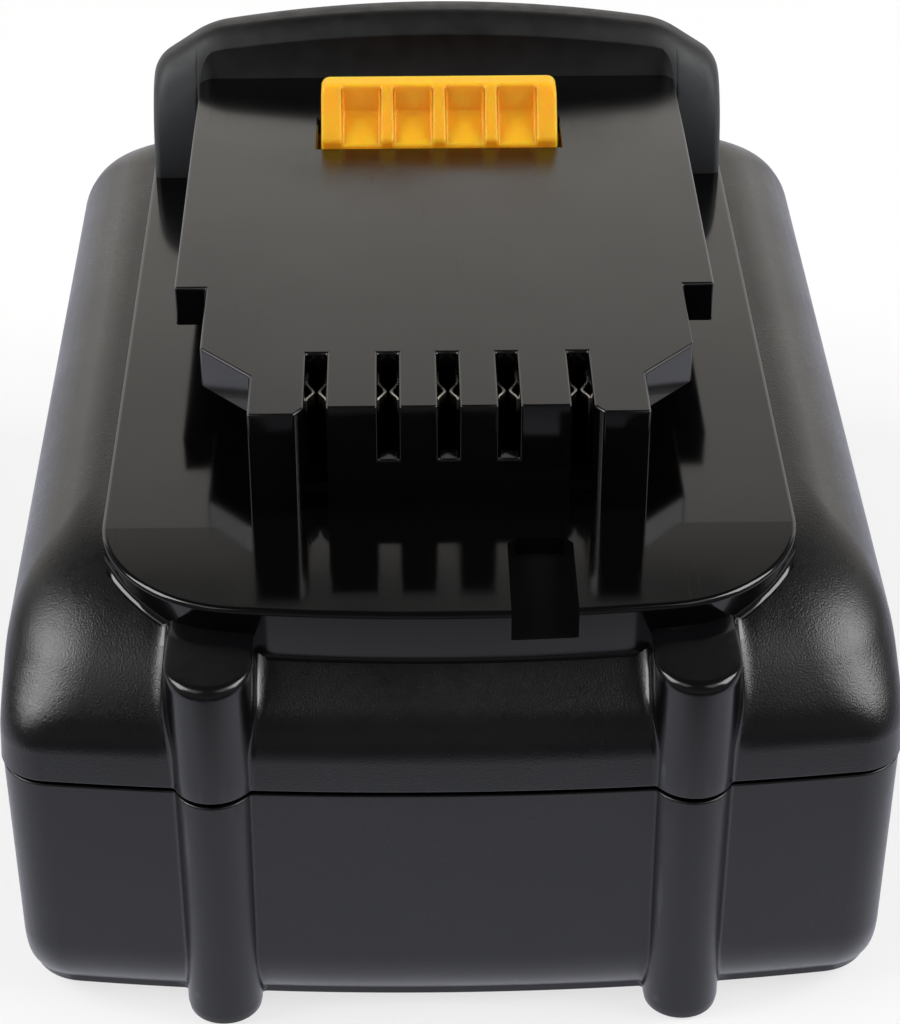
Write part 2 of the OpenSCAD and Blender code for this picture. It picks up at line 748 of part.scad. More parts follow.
module cell_holder(side) {
    bottom = low_row_z - cell_r + holder_relief;
    top = cells_top_z - holder_relief;
    half_l = cells_half_l + holder_wall;
    collar_x = cells_end_x - holder_depth;
    inset = part_step + wall_t + clearance;
    color("#24262a") difference() {
        intersection() {
            translate([min(side * strip_x, side * collar_x), cell_shift - half_l, bottom])
                cube([strip_x - collar_x, 2 * half_l, top - bottom]);
            union() {
                translate([0, 0, floor_t]) linear_extrude(part_z - floor_t) case_ring(inset);
                translate([0, 0, -2 * clearance]) shoulder_body(inset, deck_t);
            }
        }
        for (i = [0:columns - 1], j = [0:layers - 1]) translate([0, column_y(i), row_z(j)]) {
            rotate([0, 90 * side, 0]) {
                cylinder(r = cell_r + cell_fit, h = web_x);
                cylinder(d = weld_hole_d, h = half_w);
            }
        }
        for (i = [0:columns - 2])
            translate([-half_w, valley_y(i) - strap_w / 2 - clearance, lead_z - lead_d])
                cube([2 * half_w, strap_w + 2 * clearance, deck_z]);
    }
}

// Side and valley of each balance lead
balance_valleys = [[-1, 1], [-1, 2], [1, 0], [1, 2]];
// Columns that each strip joins, on the left and on the right
left_strips = [[0, 0], [1, 2], [3, 4]];
right_strips = [[0, 1], [2, 3], [4, 4]];

module nickel_strip(side, span) {
    first_y = column_y(span[0]) - strip_w / 2;
    last_y = column_y(span[1]) + strip_w / 2;
    color("#c9cbcc") {
        difference() {
            translate([min(side * strip_x, side * (strip_x + strip_t)), first_y, row_z(0) - strip_w / 2])
                cube([strip_t, last_y - first_y, pitch + strip_w]);
            if (span[1] > span[0]) translate([-half_w, valley_y(span[0]) - strip_w / 8, row_z(0) - strip_w])
                cube([2 * half_w, strip_w / 4, pitch + strip_w]);
        }
        for (i = [span[0]:span[1]], j = [0:layers - 1]) weld_spot(side, i, j);
    }
}

// Dished spot that reaches down to the cell's end, which stands higher on a positive cap
module weld_spot(side, i, j) {
    positive = (i % 2 == 0) == (side > 0);
    reach = cells_end_x + (positive ? cap_h : 0);
    translate([side * reach, column_y(i), row_z(j)]) rotate([0, 90 * side, 0])
        cylinder(d = weld_d, h = strip_x - reach + strip_t / 2);
}

// Thin sheet over the strips, cut out where leads come off them
module insulation_sheet(side) {
    front = column_y(0) - strip_w / 2 - sheet_margin;
    back = column_y(columns - 1) + strip_w / 2 + sheet_margin;
    top = strips_top_z - sheet_margin;
    foot = strap_foot_y(side);
    y = strap_valley_y(side);
    gap = 2 * clearance;
    color("#d8d2bd") difference() {
        side_box(side, sheet_x, sheet_x + sheet_t, front, back, floor_t + clearance, top);
        side_box(side, strip_x, half_w, min(foot, y - strap_w / 2) - gap, max(foot, y + strap_w / 2) + gap,
            strap_start_z - gap, deck_z);
        for (lead = balance_valleys) if (lead[0] == side)
            side_box(side, strip_x, half_w, valley_y(lead[1]) - lead_d / 2 - gap,
                valley_y(lead[1]) + lead_d / 2 + gap, lead_start_z - gap, deck_z);
    }
}

module side_pad(side) {
    color("#1d1e20") translate([min(side * pad_x, side * (pad_x + pad_t)), column_y(0), floor_t + clearance])
        cube([pad_t, pitch * (columns - 1), part_z - floor_t - 2 * clearance]);
}

module circuit_board() {
    color("#1f5a38") difference() {
        translate([-board_half_w, board_front_y, board_z]) cube([2 * board_half_w, board_l, board_t]);
        for (x = sides, y = board_boss_ys) translate([x * board_boss_x, y, board_z - over])
            cylinder(d = board_screw_d + 2 * clearance, h = board_t + 2 * over);
    }
}

module board_screws() {
    head_h = 0.9;
    color("#8d9094") for (x = sides, y = board_boss_ys) translate([x * board_boss_x, y, board_z]) {
        translate([0, 0, -head_h]) cylinder(d = board_head_d, h = head_h);
        translate([0, 0, -slice_t]) cylinder(d = board_screw_d, h = board_t + block_h + slice_t);
    }
}

// Two switching transistors in front, then the control chip between two sense resistors
module board_chips() {
    switch_x = (chip_gap + switch_w) / 2;
    sense_x = control_w / 2 + chip_gap + sense_w / 2;
    switch_y = board_boss_ys[0] + board_boss_r + chip_gap;
    control_y = switch_y + switch_l + chip_gap;
    color("#151618") translate([0, 0, board_top_z]) {
        for (x = sides) translate([x * switch_x - switch_w / 2, switch_y, 0])
            cube([switch_w, switch_l, switch_h]);
        translate([-control_w / 2, control_y, 0]) cube([control_w, control_w, control_h]);
        for (x = sides) translate([x * sense_x - sense_w / 2, control_y, 0])
            cube([sense_w, sense_l, sense_h]);
    }
}

module terminal_block() {
    back = slot_end_y + over;
    color("#191a1c") difference() {
        translate([-board_half_w, clip_front_y, board_top_z])
            cube([2 * board_half_w, back - clip_front_y, block_h]);
        for (x = slots) translate([x - clip_w / 2 - clearance, clip_front_y - over, board_top_z - over])
            cube([clip_w + 2 * clearance, back - clip_front_y + 2 * over, block_h + 2 * over]);
    }
}

// Two spring leaves, flared at the mouth and closing on the blade, joined at the back
module terminal_clip(x) {
    mouth_y = clip_front_y;
    pinch_y = mouth_y + clip_l * 0.35;
    wide_y = mouth_y + clip_l * 0.65;
    back_y = clip_back_y;
    outer = clip_w / 2;
    pinch = pinch_gap / 2;
    leaf = [[outer - leaf_t, mouth_y], [pinch, pinch_y], [outer - leaf_t, wide_y], [outer - leaf_t, back_y],
        [outer, back_y], [outer, wide_y], [pinch + leaf_t, pinch_y], [outer, mouth_y]];
    color("#c8a06a") translate([x, 0, board_top_z]) {
        linear_extrude(clip_top_z - board_top_z) {
            for (s = sides) polygon([for (p = leaf) [s * p[0], p[1]]]);
            translate([-outer, back_y - leaf_t]) square([clip_w, leaf_t]);
        }
        translate([-outer, wide_y, 0]) cube([clip_w, back_y - wide_y, leaf_t]);
    }
}

// Box on one side of the pack: distances from the middle, lengths and heights
module side_box(side, x0, x1, y0, y1, z0, z1) {
    translate([min(side * x0, side * x1), min(y0, y1), z0]) cube([abs(x1 - x0), abs(y1 - y0), z1 - z0]);
}

function strap_valley_y(side) = valley_y(side < 0 ? 0 : columns - 2);
function strap_foot_y(side) = side < 0 ? column_y(0) + strip_w / 2 - strap_w
    : column_y(columns - 1) - strip_w / 2 + strap_w;
function strap_end_y(side) = side < 0 ? board_front_y + clearance + strap_w / 2
    : board_boss_ys[1] - board_head_d / 2 - clearance - strap_w / 2;

// Flat lead: up from a strip, in through a valley between cells, over the cells and up to the board
module power_strap(side) {
    y = strap_valley_y(side);
    end = strap_end_y(side);
    h = strap_w / 2;
    step = sign(end - y) * h;
    tab_x = board_half_w - strap_tab;
    color("#b87338") {
        side_box(side, strap_x, strap_x + strap_t, y - sign(y) * h, strap_foot_y(side),
            strap_start_z, strap_start_z + strap_w);
        side_box(side, strap_x, strap_x + strap_t, y - h, y + h, strap_start_z, lead_z + strap_t);
        side_box(side, strap_run_x + h - strap_t, strap_x + strap_t, y - h, y + h, lead_z, lead_z + strap_t);
        side_box(side, strap_run_x + h - strap_t, strap_run_x + h, y - h, y + h, lead_z, strap_z + strap_t);
        side_box(side, strap_run_x - h, strap_run_x + h, y - step, end + step, strap_z, strap_z + strap_t);
        side_box(side, tab_x, strap_run_x, end - h, end + h, strap_z, strap_z + strap_t);
        side_box(side, tab_x, tab_x + strap_t, end - h, end + h, strap_z, board_z);
    }
}

// Thin wire from a strip's top, along a valley between the cells, up to the board
module balance_lead(side, valley) {
    y = valley_y(valley);
    end_y = max(y, board_front_y + lead_d);
    start_x = strip_x + strip_t + lead_d / 2;
    end_x = board_half_w - lead_d;
    points = [[side * start_x, y, lead_start_z], [side * start_x, y, lead_z],
        [side * end_x, y, lead_z], [side * end_x, end_y, lead_z], [side * end_x, end_y, board_z]];
    color("#c33a2c") {
        for (k = [0:len(points) - 2]) rod(points[k], points[k + 1]);
        for (k = [1:len(points) - 2]) translate(points[k]) sphere(d = lead_d, $fn = 24);
    }
}

// Round rod between two points that differ along one axis
module rod(from, to) {
    run = to - from;
    turn = abs(run[0]) > 0 ? [0, 90 * sign(run[0]), 0]
        : abs(run[1]) > 0 ? [-90 * sign(run[1]), 0, 0] : [0, 0, 0];
    if (norm(run) > 0) translate(from) rotate(turn) cylinder(d = lead_d, h = norm(run), $fn = 24);
}

// Sensing bead in the valley between two cells, on a stem from the board
module thermistor() {
    bead_d = 2.4;
    y = valley_y(1);
    bead_z = cells_top_z - bead_d;
    color("#20242a") {
        translate([0, y, bead_z]) sphere(d = bead_d);
        for (x = sides) translate([x * bead_d / 4, y, bead_z])
            cylinder(d = bead_d / 4, h = board_z - bead_z, $fn = 24);
    }
}

strip_nodes = [for (s = [0, 1], k = [0:2]) str("nickel_strip_", side_names[s], "_", k + 1)];

lower_case();
upper_case();
release_latch();
latch_base();
case_screws();
circuit_board();
board_screws();
board_chips();
terminal_block();
thermistor();
for (s = [0, 1]) {
    latch_spring(sides[s]);
    cell_holder(sides[s]);
    insulation_sheet(sides[s]);
    side_pad(sides[s]);
    power_strap(sides[s]);
    for (k = [0:2]) nickel_strip(sides[s], (s == 0 ? left_strips : right_strips)[k]);
}
for (i = [0:columns - 1], j = [0:layers - 1])
    cell(i, j);
for (k = [0:len(slots) - 1])
    terminal_clip(slots[k]);
for (k = [0:len(balance_valleys) - 1])
    balance_lead(balance_valleys[k][0], balance_valleys[k][1]);
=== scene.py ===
"""Looks of a slide-on battery pack for power tools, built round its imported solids."""
import math

import bmesh
import bpy
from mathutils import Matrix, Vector
from mathutils.bvhtree import BVHTree


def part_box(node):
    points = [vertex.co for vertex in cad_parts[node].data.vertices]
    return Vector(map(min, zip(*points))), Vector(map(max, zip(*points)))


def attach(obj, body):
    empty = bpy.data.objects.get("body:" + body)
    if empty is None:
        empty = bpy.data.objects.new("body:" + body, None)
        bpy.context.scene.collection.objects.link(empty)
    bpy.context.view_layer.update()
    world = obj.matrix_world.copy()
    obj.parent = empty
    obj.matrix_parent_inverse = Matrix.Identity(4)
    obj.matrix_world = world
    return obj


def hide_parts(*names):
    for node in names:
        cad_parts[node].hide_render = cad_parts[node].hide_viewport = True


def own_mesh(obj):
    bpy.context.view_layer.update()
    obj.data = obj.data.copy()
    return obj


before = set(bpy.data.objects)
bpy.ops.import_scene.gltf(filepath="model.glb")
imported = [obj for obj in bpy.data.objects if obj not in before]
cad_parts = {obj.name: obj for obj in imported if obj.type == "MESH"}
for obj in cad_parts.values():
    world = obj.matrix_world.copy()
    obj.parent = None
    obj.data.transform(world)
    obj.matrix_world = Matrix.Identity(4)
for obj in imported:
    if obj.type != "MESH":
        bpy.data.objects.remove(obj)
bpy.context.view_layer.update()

# Lengths below are in millimetres, in the frame of the solids, and turns and slants in degrees.
MM = 0.001

# The photograph's frame in pixels, and the lens that was found for it
IMAGE_W = 900
IMAGE_H = 1024
FOCAL_PX = 2892
CENTRE_X_PX = 447.7
SENSOR = 36
CAMERA_PLACE = (-4.12, -245.1, 183.2)
CAMERA_PITCH = 56.55
CAMERA_YAW = -1.06

# Floor and light. A brightness of 1 shows as white.
FLOOR_SIZE = 2000
FLOOR_Z = -0.05
FLOOR_GLOW = 0.7
FLOOR_FADE_START = 86.0
FLOOR_FADE_END = 116.0
FLOOR_FAR = 0.12
FLOOR_NEAR = 0.95
BLUISH = (0.88, 0.89, 1.0)
WARM = (1, 0.95, 0.88)
PANEL_Y = 900
PANEL_W = 2200
PANEL_LOW = 5
SKY_LOW = 0.25
SKY_HIGH = 0.05
SKY_RISE = 0.8

# Limits for cleaning meshes and for shading their edges
SAME_PLACE = 0.002
ON_LINE = 0.02
FLAT_TURN = 0.2
EDGE_TURN = 30
# How far a cutter reaches past what it cuts, and a joined piece into another
OVER = 1.0
SHARP_TURN = 35
UPPER_SHARP_TURN = 40


def node_box(name):
    """Lowest and highest corner of a solid, in millimetres."""
    low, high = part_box(name)
    return low / MM, high / MM


UPPER_LOW, UPPER_HIGH = node_box("upper_case")
LATCH_LOW, LATCH_HIGH = node_box("release_latch")

# Case
PILLAR_PROUD = 1.3
HALF_W = UPPER_HIGH.x
END_Y = UPPER_HIGH.y - PILLAR_PROUD
PART_Z = UPPER_LOW.z
PART_STEP = 0.35
SIDE_STEP = 0.1
CORNER_R = 4.5
CORNER_GROW = 4.5
CORNER_GROW_H = 6.0
END_BOW = 2.1
FOOT_CURVE_R = 9.0
FOOT_CURVE_Z = 6.9
FOOT_TURN = 42.0
FOOT_SIDE_R = 0.9
FOOT_CORNER = 0.8
FOOT_EDGE = 0.25
WALL = 2.0
FLOOR_T = 1.6
DRAFT = 0.25
SHOULDER_DRAFT = 0.05
SEAM_R = 0.2
SEAM_GAP = 0.55
TONGUE_H = 1.4

# Shoulder
DECK_Z = 41.0
DECK_T = 1.5
SHOULDER_Z = DECK_Z - 0.4
LOW_Z = PART_Z + 3.0
FRONT_RUN = 17.0
FRONT_R = 6.0
MIDDLE_TOP = 38.6
MIDDLE_HALF_W = 17.0
MIDDLE_FADE = 8.0
SIDE_RUN = 6.0
SIDE_FALL = 3.4
SIDE_R = 7.0
SIDE_TOP_R = 5.0
BACK_R = 3.2
BACK_CORNER_R = 6.0

# Screw pillars
PILLAR_X = 20.75
PILLAR_R = 3.75
PILLAR_Y = UPPER_HIGH.y - PILLAR_R
PILLAR_LOW_R = 3.4
SHELF_Z = DECK_Z - 2.6
NOSE_R = 1.0
NOSE_TURN = 86.0
NOSE_RUN = 5.0
NOSE_LEFT = 0.05
SHELF_EDGE_R = 0.5
FOOT_R = 0.6
FILLET_LOW = 0.5
FILLET_HIGH = 1.5
LOW_PILLAR = (PILLAR_R, FILLET_LOW, 0.0)
SMOOTH_DEPTH = 6.0
SMOOTH_FILLET = 0.3
SCREW_X = 20.4
SCREW_Y = UPPER_HIGH.y - 3.5

# Deck
DECK_HALF_W = 30.9
DECK_FRONT = END_Y - 5.75
DECK_CORNER_R = 13.5
DECK_BOW = 0.9
DECK_LIP_R = 0.5
DECK_FALL = 0.27
DECK_FALL_RUN = 13.3
DECK_CREASE = DECK_FALL_RUN - DECK_FRONT
DECK_FOOT_R = 0.5
DECK_SIDE_FOOT_R = 0.75
DECK_FOOT_LIFT = 0.04
DECK_SKIRT = 0.4
NOTCH_X = 7.9
NOTCH_W = 5.8
NOTCH_L = 11.2
NOTCH_WALL = 1.0
NOTCH_BED_T = 0.15
NOTCH_FRONT_DEPTH = 3.1
NOTCH_BACK_DEPTH = 1.75

# Rail tower
TOWER_Z = DECK_Z + 10.2
TOWER_TOP_T = 2.0
TOWER_WALL = 2.0
TOWER_FRONT = DECK_FRONT - 15.6
RECESS_DEPTH = 1.15
RECESS_HALF_W = 12.75
RECESS_SLANT = 0.8
FLANGE_Z = TOWER_Z - 4.1
FLANGE_HALF_W = 25.4
NARROW_HALF_W = 22.4
CORE_HALF_W = 17.7
PLAIN_L = 6.6
DIAGONAL_L = 5.05
WIDE_START = 22.95
SLOT_W = 1.9
SLOT_L = 10.65
SLOT_SILL = DECK_Z + 4.65
SILL_GRIP = 0.4
INNER_SLOT_X = 5.35
OUTER_SLOT_X = 11.8
TOWER_EDGE_R = 0.25

# Hood
HOOD_Z = UPPER_HIGH.z + 1.8
HOOD_FRONT = END_Y - 11.4
HOOD_BACK = END_Y - PART_STEP
HOOD_HALF_W = DECK_HALF_W - 0.4
HOOD_CROWN = 0.0033
HOOD_CROWN_X = 22.3
HOOD_TURN_R = 9.0
HOOD_SLANT = 33.0
HOOD_CORNER_R = 3.6
HOOD_BACK_R = 7.7
HOOD_WALL = 2.0
WING_FRONT = 36.2
WING_RUN = 5.8
WING_INNER = FLANGE_HALF_W + 0.25
WING_EDGE_R = 0.7
WING_INNER_R = 0.3
NICHE_Y = HOOD_FRONT - 0.3
NICHE_CORNER = 1.6
HOOD_SIDE_R = 2.5
HOOD_FOOT_IN = 1.2

# Release latch
LATCH_W = 24.2
LATCH_L = 6.4
LATCH_TOP = LATCH_HIGH.z
LATCH_FRONT = HOOD_FRONT - 16.8
LATCH_BACK = LATCH_FRONT + LATCH_L
LATCH_GAP = 0.4
LATCH_RISE = LATCH_TOP - TOWER_Z
BAR_L = 2.2
RIB_COUNT = 5
RIB_T = 1.4
END_RIB_T = 2.15
TOP_R = 0.9
PLATE_Z = LATCH_LOW.z
PLATE_T = 3.0
PLATE_HALF_W = LATCH_HIGH.x
PLATE_BACK = LATCH_BACK + 4
NECK_HALF_W = 9.0
NECK_INSET = 0.1
RISER_T = 0.8
LATCH_EDGE_R = 0.3
HOOK_FOOT_Z = TOWER_Z + 0.55
POCKET_FLOOR = TOWER_Z + 0.45 * LATCH_RISE
POCKET_LOW = TOWER_Z - 0.5
POCKET_LEAN = 0.35
POCKET_TURN = 0.4
POCKET_TURN_RISE = 0.15
POCKET_LIP = 0.3
THUMB_W = 22.0
THUMB_H = 5.2
THUMB_Z = LATCH_TOP - LATCH_RISE / 2 - THUMB_H
THUMB_BACK = LATCH_HIGH.y
GROOVES = 3
GROOVE_R = 0.4
SPRING_X = 8.5
SPRING_POCKET_R = 2.6
SPRING_POCKET_H = 1.8
SPRING_WIRE = 0.45
SPRING_TURNS = 5

# Terminal clips
CLIP_T = 0.3
CLIP_OPEN = 0.78
CLIP_PINCH = 0.12
CLIP_TIP = 1.5
CLIP_IN = 4.0
CLIP_FLARE = 0.62
CLIP_SPREAD = 0.5
CLIP_EDGE_R = 0.06

CROWN_TURN = math.atan(2 * HOOD_CROWN * HOOD_CROWN_X)
SLANT = math.radians(HOOD_SLANT)
SLANT_X = HOOD_CROWN_X + HOOD_TURN_R * (math.sin(SLANT) - math.sin(CROWN_TURN))
CORNER_X = HOOD_HALF_W - HOOD_CORNER_R * (1 - math.sin(SLANT))


def quarter(steps):
    """Angles over a quarter turn, both ends among them."""
    return [math.pi / 2 * k / steps for k in range(steps + 1)]


def blend(a, b, share):
    """From a to b, eased at both ends."""
    share = min(1.0, max(0.0, share))
    return a + (b - a) * share * share * (3 - 2 * share)


def sagitta(radius, height):
    """How far a circle has curved away at a height along its tangent."""
    return radius - math.sqrt(max(0.0, radius * radius - height * height))


SHOULDER_H = SHOULDER_Z - LOW_Z
SIDE_SLOPE = math.atan(SIDE_FALL / SIDE_RUN)
SIDE_REACH = SIDE_R * math.tan((math.pi / 2 - SIDE_SLOPE) / 2)
FOOT_IN = FOOT_CURVE_R * (1 - math.cos(math.radians(FOOT_TURN)))
SIDE_LINE_Z = SHOULDER_Z - SIDE_FALL
SIDE_TOP_Z = SHOULDER_Z - SIDE_TOP_R * (1 - math.cos(SIDE_SLOPE))
NOSE_ANGLE = math.radians(NOSE_TURN)
NOSE_Z = SHELF_Z - NOSE_R * math.sin(NOSE_ANGLE) - NOSE_RUN / math.tan(NOSE_ANGLE)


def front_in(z, top):
    """How far the front shoulder has drawn in: two arcs of one slope where they meet, level at the top."""
    if z <= LOW_Z:
        return 0.0
    turn = 2 * math.atan((top - LOW_Z - FRONT_R) / (FRONT_RUN - FRONT_R))
    if z - LOW_Z < FRONT_R * math.cos(turn):
        return sagitta(FRONT_R, z - LOW_Z)
    big_r = FRONT_R + (FRONT_RUN - FRONT_R) / math.sin(turn)
    return FRONT_RUN - math.sqrt(max(0.0, big_r ** 2 - (min(z, top) - top + big_r) ** 2))


def side_in(z):
    """How far the side bevel has drawn in: an arc, a slope, and an arc into the flat top."""
    if z <= SIDE_LINE_Z - SIDE_REACH:
        return 0.0
    if z < SIDE_LINE_Z + SIDE_REACH * math.sin(SIDE_SLOPE):
        return sagitta(SIDE_R, z - SIDE_LINE_Z + SIDE_REACH)
    if z < SIDE_TOP_Z:
        return (z - SIDE_LINE_Z) / math.tan(SIDE_SLOPE)
    end = SIDE_RUN + SIDE_TOP_R * math.tan(SIDE_SLOPE / 2)
    return end - math.sqrt(max(0.0, SIDE_TOP_R ** 2 - (z - SHOULDER_Z + SIDE_TOP_R) ** 2))


def back_in(z):
    """How far the back edge of the shoulder has drawn in."""
    return sagitta(BACK_R, max(0.0, z - SHOULDER_Z + BACK_R))


def corner_at(z):
    """Radius of the front corners at a height."""
    return blend(CORNER_R, CORNER_R + CORNER_GROW, (z - LOW_Z) / CORNER_GROW_H)


def middle_share(x):
    """One across the middle of the front, fading to none at its corners."""
    return blend(1.0, 0.0, (abs(x) - MIDDLE_HALF_W) / MIDDLE_FADE)


def show(name, data):
    """An object of this data, in the scene."""
    obj = bpy.data.objects.new(name, data)
    bpy.context.scene.collection.objects.link(obj)
    return obj


def edit_mesh(obj, change):
    """Lets a function change a piece's mesh."""
    built = bmesh.new()
    built.from_mesh(obj.data)
    change(built)
    built.to_mesh(obj.data)
    built.free()


def clean(built):
    """Closes small gaps and turns all faces outwards."""
    bmesh.ops.remove_doubles(built, verts=built.verts, dist=SAME_PLACE * MM)
    bmesh.ops.dissolve_degenerate(built, edges=built.edges, dist=SAME_PLACE * MM)
    bmesh.ops.recalc_face_normals(built, faces=built.faces)


def new_object(name, points, faces):
    """A mesh object from points in millimetres."""
    mesh = bpy.data.meshes.new(name)
    mesh.from_pydata([Vector(p) * MM for p in points], [], faces)
    obj = show(name, mesh)
    edit_mesh(obj, clean)
    return obj


def loft(name, rings):
    """A closed skin over rings that have the same number of points."""
    count = len(rings[0])
    faces = [list(reversed(range(count)))]
    for i in range(len(rings) - 1):
        for j in range(count):
            k = (j + 1) % count
            faces.append([i * count + j, i * count + k, (i + 1) * count + k, (i + 1) * count + j])
    faces.append(list(range((len(rings) - 1) * count, len(rings) * count)))
    return new_object(name, [p for ring in rings for p in ring], faces)


def prism(name, outline, low, high):
    """An upright prism on an outline seen from above."""
    return loft(name, [[(x, y, z) for x, y in outline] for z in (low, high)])


def block(name, low, high):
    """A box between its lowest and highest corner."""
    outline = [(low[0], low[1]), (high[0], low[1]), (high[0], high[1]), (low[0], high[1])]
    return prism(name, outline, low[2], high[2])


def bake(obj):
    """Turns a piece's modifiers into its mesh."""
    depsgraph = bpy.context.evaluated_depsgraph_get()
    mesh = bpy.data.meshes.new_from_object(obj.evaluated_get(depsgraph))
    obj.modifiers.clear()
    obj.data = mesh


def combine(obj, other, operation):
    """Joins another closed mesh to a piece, or cuts it away."""
    change = obj.modifiers.new("combine", "BOOLEAN")
    change.operation = operation
    change.solver = "MANIFOLD"
    change.object = other
    bake(obj)
    bpy.data.objects.remove(other)
    edit_mesh(obj, merge_flat_faces)


def merge_flat_faces(built):
    limit = math.radians(FLAT_TURN)
    bmesh.ops.dissolve_limit(built, angle_limit=limit, verts=built.verts, edges=built.edges)


def round_edges(obj, radius, segments=3):
    """Rounds every real edge of a piece."""
    rounding = obj.modifiers.new("edges", "BEVEL")
    rounding.width = radius * MM
    rounding.segments = segments
    rounding.limit_method = "ANGLE"
    rounding.angle_limit = math.radians(EDGE_TURN)
    rounding.use_clamp_overlap = False
    bake(obj)


def smooth(obj, sharp_turn=SHARP_TURN, crease_y=None):
    """Smooth shading that keeps real edges sharp and flat faces flat, and a crease across the piece."""
    def on_crease(edge):
        return crease_y is not None and all(abs(v.co.y / MM - crease_y) < ON_LINE / 2 for v in edge.verts)

    def mark(built):
        for face in built.faces:
            face.smooth = True
        for edge in built.edges:
            edge.smooth = edge.calc_face_angle(0.0) < math.radians(sharp_turn) and not on_crease(edge)

    edit_mesh(obj, mark)
    normals = obj.modifiers.new("normals", "WEIGHTED_NORMAL")
    normals.keep_sharp = True
    normals.weight = 80
    bake(obj)


def paint(obj, material):
    obj.data.materials.clear()
    obj.data.materials.append(material)


def paint_faces(obj, material, chosen):
    """Gives another material to the faces whose middle, in millimetres, is chosen."""
    obj.data.materials.append(material)
    index = len(obj.data.materials) - 1
    for face in obj.data.polygons:
        if chosen(face.center / MM):
            face.material_index = index


def join(name, objects):
    """One piece from several, which keep their own materials."""
    materials = []
    built = bmesh.new()
    for obj in objects:
        first = len(built.faces)
        built.from_mesh(obj.data)
        built.faces.ensure_lookup_table()
        for material in obj.data.materials:
            if material not in materials:
                materials.append(material)
        for face in built.faces[first:]:
            face.material_index = materials.index(obj.data.materials[face.material_index])
    mesh = bpy.data.meshes.new(name)
    built.to_mesh(mesh)
    built.free()
    for material in materials:
        mesh.materials.append(material)
    for obj in objects:
        bpy.data.objects.remove(obj)
    return show(name, mesh)


# Outlines

CORNER_STEPS = 16
PILLAR_STEPS = 26
FACE_STEPS = 10


def pillar_half(radius, fillet, gap):
    """Half of a pillar's outline with its fillet, from its tip: along the face, and out from its axis.
    The gap is how far the face stands out from the axis."""
    lift = gap + fillet
    reach = math.sqrt((radius + fillet) ** 2 - max(lift, 0.0) ** 2)
    turn = math.atan2(reach, max(lift, 0.0))
    side = max(-lift, 0.0)
    total = (radius + fillet) * turn + side
    points = []
    for k in range(PILLAR_STEPS + 1):
        run = total * k / PILLAR_STEPS
        if run <= radius * turn:
            points.append((radius * math.sin(run / radius), radius * math.cos(run / radius)))
        elif run <= radius * turn + side:
            points.append((radius, radius * turn - run))
        else:
            angle = (total - run) / fillet
            points.append((reach - fillet * math.sin(angle), lift - fillet * math.cos(angle)))
    return points


def end_outline(half_w, reach, corner_r, bow, pillar=None, dip=0.0):
    """One bowed end of the case from its left side to its right: across, and out from the middle.
    The pillar is its radius, its fillet, how far its nose is drawn in and whether it stands out or is flat.
    The dip is how much further the middle of the end is drawn in."""
    middle = half_w - corner_r
    bow_r = middle ** 2 / (2 * bow) + bow / 2
    bow_out = reach - bow_r
    corner_out = bow_out + math.sqrt((bow_r - corner_r) ** 2 - middle ** 2)
    turn = math.asin(middle / (bow_r - corner_r))

    def face(x):
        return bow_out + math.sqrt(bow_r ** 2 - x ** 2) - dip * middle_share(x)

    def across(start, stop, steps):
        return [(x, face(x)) for x in (start + (stop - start) * k / steps for k in range(1, steps))]

    corner = []
    for k in range(CORNER_STEPS + 1):
        angle = math.pi / 2 + (turn - math.pi / 2) * k / CORNER_STEPS
        corner.append((middle + corner_r * math.sin(angle), corner_out + corner_r * math.cos(angle)))
    inner = corner[-1][0]
    if pillar is None:
        right_to_left = across(inner, -inner, 4 * FACE_STEPS)
    else:
        radius, fillet, drawn_in, stands = pillar
        gap = face(PILLAR_X) - PILLAR_Y
        shift = min(drawn_in, max(0.0, radius - gap - NOSE_LEFT))
        half = pillar_half(radius, fillet, gap + shift)
        wide = half[-1][0]

        def stand(centre):
            points = []
            for k in range(-PILLAR_STEPS, PILLAR_STEPS + 1):
                along, out = half[abs(k)]
                x = centre - math.copysign(along, k)
                slant = (face(x) - face(centre)) * (abs(k) / PILLAR_STEPS) ** 4
                points.append((x, PILLAR_Y - shift + out + slant if stands else face(x)))
            return points

        right_to_left = across(inner, PILLAR_X + wide, FACE_STEPS) + stand(PILLAR_X)
        right_to_left += across(PILLAR_X - wide, wide - PILLAR_X, 2 * FACE_STEPS) + stand(-PILLAR_X)
        right_to_left += across(-PILLAR_X - wide, -inner, FACE_STEPS)
    left_corner = [(-x, out) for x, out in reversed(corner)]
    return list(reversed(corner + right_to_left + left_corner))


def case_ring(z, half_w, front, back, corners, pillar=None, dip=0.0):
    """The whole case at a height, seen from above, with a front and a back corner radius."""
    front_end = end_outline(half_w, front, corners[0], END_BOW, pillar, dip)
    back_end = end_outline(half_w, back, corners[1], END_BOW, pillar)
    return [(x, -out, z) for x, out in front_end] + [(-x, out, z) for x, out in back_end]


# The two halves of the case

def shoulder_ring(z, inset=0.0, drop=0.0, pillar=None):
    """The shoulder at a height, drawn in by an inset and lowered by a drop."""
    draft = SHOULDER_DRAFT * max(0.0, min(z, SIDE_LINE_Z) - PART_Z - SEAM_R)
    half_w = HALF_W - inset - side_in(z) - draft
    front = front_in(z, SHOULDER_Z)
    back = END_Y - inset - back_in(z)
    dip = front_in(z, MIDDLE_TOP) - front
    corners = (corner_at(z) - inset / 2, BACK_CORNER_R - inset / 2)
    return case_ring(z - drop, half_w, END_Y - inset - front, back, corners, pillar, dip)


